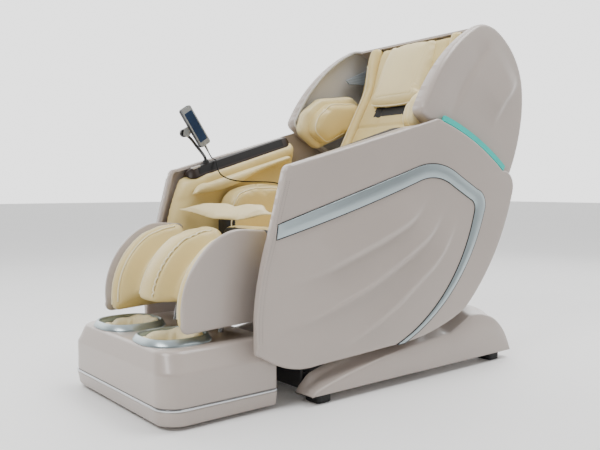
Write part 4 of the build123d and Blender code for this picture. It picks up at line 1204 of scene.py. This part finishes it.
seat_flap = show("seat_flap_cushion", [leaf_place(*p) for p in leaf_verts], leaf_faces, leather_light, 180)
puff(seat_flap, 4.0, 4.0, 5.0)
pad(seat_flap, "seat", 0.6, "seat_flap")
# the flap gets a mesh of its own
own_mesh(seat_flap)

# ================================================================ back


def back_spot(x, up, front):
    """A point on the back: across, up the back, and forward of its face."""
    s, c = math.sin(BACK_LEAN), math.cos(BACK_LEAN)
    return (x, BACK_FOOT[0] + s * up - c * front, BACK_FOOT[1] + c * up + s * front)


def on_back(verts):
    return [back_spot(*p) for p in verts]


back_outline = trace((-204, 20), ((204, 20),), ((204, 948),), ((-204, 948),), ((-204, 20),), step=10.0)


def back_face(u, v, d):
    """Quilted face of the back: a middle channel and soft cross rolls."""
    rolls = 2.5 * np.cos(v / 118 * math.tau)
    channel = 5 * np.exp(-((np.abs(u) - 78) / 9) ** 2)
    return -6 + 7 * (1 - np.exp(-d / 30)) + rolls * step_up(d, 20, 60) - channel + 40 * step_up(v, 690, 925)


back_verts, back_faces = panel(soften(back_outline, 4), pillowed(flat(-41), 4, back_face, 16, 5), 9.0)
back_pad = show("back_cushion", on_back(back_verts), back_faces, leather, 180)
puff(back_pad, 2.5, 3.0, 7.0, finer=False)
back_seams = [[back_spot(u, v, 0) for u in np.linspace(-190, 190, 40)] for v in (90, 180, 270, 360, 450, 540)]
press_in(back_pad, back_seams, 7.0, 7.0)
# painted shade: a band of the back's face just under the head pillow is coloured black for the shaded gap and
# slot there
back_pad.data.materials.append(seal)
for face in back_pad.data.polygons:
    x, y, z = face.center / MM
    up = (y - BACK_FOOT[0]) * math.sin(BACK_LEAN) + (z - BACK_FOOT[1]) * math.cos(BACK_LEAN)
    if abs(x) < 112 and 586 < up < 640:
        face.material_index = 1
pad(back_pad, "back", 0.75, "back_pad")

bolster_outline = trace((30, -41), ((44, 4), (66, 28)), ((200, 44), (330, 44)), ((392, 34), (420, 8)),
                        ((420, -41),), ((30, -41),), step=9.0)
bolster_verts, bolster_faces = panel(bolster_outline, pillowed(flat(205), 16, flat(281), 18, 5), 14.0)
for side_name, side in SIDES:
    verts = [back_spot(side * w, u, v) for u, v, w in bolster_verts]
    bolster = show(f"back_bolster_{side_name}", verts, bolster_faces, leather, 180)
    puff(bolster, 3.5, 4.0, 7.0)
    pad(bolster, "back", 0.8)

WING = trace((204, 414), ((262, 414),), ((262, 930),), ((258, 946), (242, 950)), ((204, 950),), ((204, 414),),
             step=9.0)


def wing_face(u, v, d):
    """Side panel of the back, swelling forward beside the head."""
    return -4 + 8 * (1 - np.exp(-d / 18)) + 62 * step_up(v, 690, 930) * (1 - 0.25 * np.exp(-d / 14))


wing_verts, wing_faces = panel(soften(WING, 4), pillowed(flat(-41), 4, wing_face, 12, 5), 10.0)
wing_seam = [(w, v, 0) for w, v in curve_through([(240, 430), (240, 600), (236, 760), (232, 936)], 6)]
for side_name, side in SIDES:
    verts = [back_spot(side * u, v, w) for u, v, w in wing_verts]
    wing = show(f"back_wing_{side_name}", verts, wing_faces, leather, 180)
    puff(wing, 2.5, 3.0, 7.0, finer=False)
    tree = surface_of(wing)
    line = laid_on(tree, [back_spot(side * w, v, 20) for w, v, _ in wing_seam], 1.4)
    piping(f"back_wing_piping_{side_name}", [line], 2.6, piping_skin, "back")
    pad(wing, "back", 0.75)

pillow_outline = trace((-120, 630), ((0, 622), (120, 630)), ((144, 646), (147, 680)), ((150, 800), (136, 906)),
                       ((124, 936), (92, 942)), ((0, 946), (-92, 942)), ((-124, 936), (-136, 906)),
                       ((-150, 800), (-147, 680)), ((-144, 646), (-120, 630)), step=7.0)


def pillow_face(u, v, d):
    return 28 + 24 * (1 - np.exp(-d / 34)) + 14 * step_up(v, 680, 900)


pillow_verts, pillow_faces = panel(pillow_outline, pillowed(flat(1), 8, pillow_face, 20, 6), 10.0)
pillow = show("head_pillow_cushion", on_back(pillow_verts), pillow_faces, leather_light, 180)
puff(pillow, 4.0, 6.0, 6.0)
inner_seam = trace((-96, 690), ((-104, 664), (-78, 660)), ((78, 660),), ((104, 664), (96, 690)), ((100, 880),),
                   ((96, 904), (70, 908)), ((-70, 908),), ((-96, 904), (-100, 880)), ((-96, 690),), step=6.0)
inner_line = [back_spot(u, v, 50) for u, v in [*inner_seam, inner_seam[0]]]
press_in(pillow, [inner_line], 3.0, 4.0)
tree = surface_of(pillow)
low_edge = curve_through([(-132, 646), (-90, 634), (0, 628), (90, 634), (132, 646)], 6)
pillow_lines = [laid_on(tree, [back_spot(u, v, 20) for u, v in low_edge], 1.6)]
piping("pillow_piping", pillow_lines, 3.0, piping_skin, "back")
pillow_stitches = show("pillow_stitches", *stitch_mesh(laid_on(tree, inner_line, 0.2), 4, 3, 0.8), thread)
fit(pillow_stitches, "back", "leather")
pad(pillow, "back", 0.85, "head_pillow")

SHOULDER_OUTER = trace((216, 930), ((202, 948), (200, 968)), ((222, 1034),), ((318, 1104),), ((510, 1128),),
                       ((574, 1088),), ((474, 936),), ((300, 872),), ((216, 930),), step=7.0)
SHOULDER_INNER = trace((248, 934), ((236, 950), (236, 966)), ((256, 1020),), ((334, 1080),), ((486, 1092),),
                       ((530, 1062),), ((452, 950),), ((310, 892),), ((248, 934),), step=7.0)
SHOULDER_OUTER, SHOULDER_INNER = soften(SHOULDER_OUTER, 8), soften(SHOULDER_INNER, 8)
wide_verts, wide_faces = panel(SHOULDER_OUTER, pillowed(flat(0), 4, crowned(36, 6, 14), 12, 4), 9.0)
deep_verts, deep_faces = panel(SHOULDER_INNER, pillowed(flat(34), 4, crowned(88, 9, 30), 22, 6), 10.0)
for side_name, side in SIDES:
    wide = show(f"shoulder_wing_{side_name}", across(side, wide_verts, 344, -1), wide_faces, leather_light, 180)
    deep = show(f"shoulder_cushion_{side_name}", across(side, deep_verts, 344, -1), deep_faces, leather, 180)
    puff(wide, 3.0, 3.0, 5.0, finer=False)
    puff(deep, 4.0, 5.0, 6.0)
    tree = surface_of(deep)
    edge = inset(counter_clockwise(SHOULDER_INNER), 7)
    loop = [(side * (344 - 88), y, z) for y, z in [*edge, edge[0]]]
    piping(f"shoulder_piping_{side_name}", [laid_on(tree, loop, 1.0)], 2.4, piping_skin, "back")
    pad(wide, "back", 0.6)
    pad(deep, "back", 0.85, f"shoulder_pad_{side_name}")

# ================================================================ CAD pieces that stay, with better finishes

FINISHES = (
    (steel_coat, "base_frame seat_frame back_frame leg_frame massage_carriage"),
    (steel_ground, "foot_frame tilt_rod recline_rod leg_rod"),
    (black, "base_front_panel power_box control_box air_pump gooseneck cable_socket massage_arms remote_body"),
    (black, "tilt_cylinder recline_cylinder leg_cylinder"),
    (roller_skin, "upper_rollers lower_rollers foot_rollers"),
    (greige, "seat_rear_cover back_cover"),
    (rubber, "base_feet"),
    (plywood, "seat_pan"),
    (led, "led_strips"),
    (key_skin, "arm_key"),
    (mesh_cloth, "speakers"),
    (screen_glass, "remote_screen"),
)
for skin, names in FINISHES:
    for name in names.split():
        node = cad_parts[name]
        node.data.materials.clear()
        node.data.materials.append(skin)

# the remote's front is silver around its screen
screen_face = max(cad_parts["remote_screen"].data.polygons, key=lambda face: face.area).normal.copy()
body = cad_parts["remote_body"]
body.data.materials.append(bezel_skin)
for face in body.data.polygons:
    if face.normal.dot(screen_face) > 0.8:
        face.material_index = 1
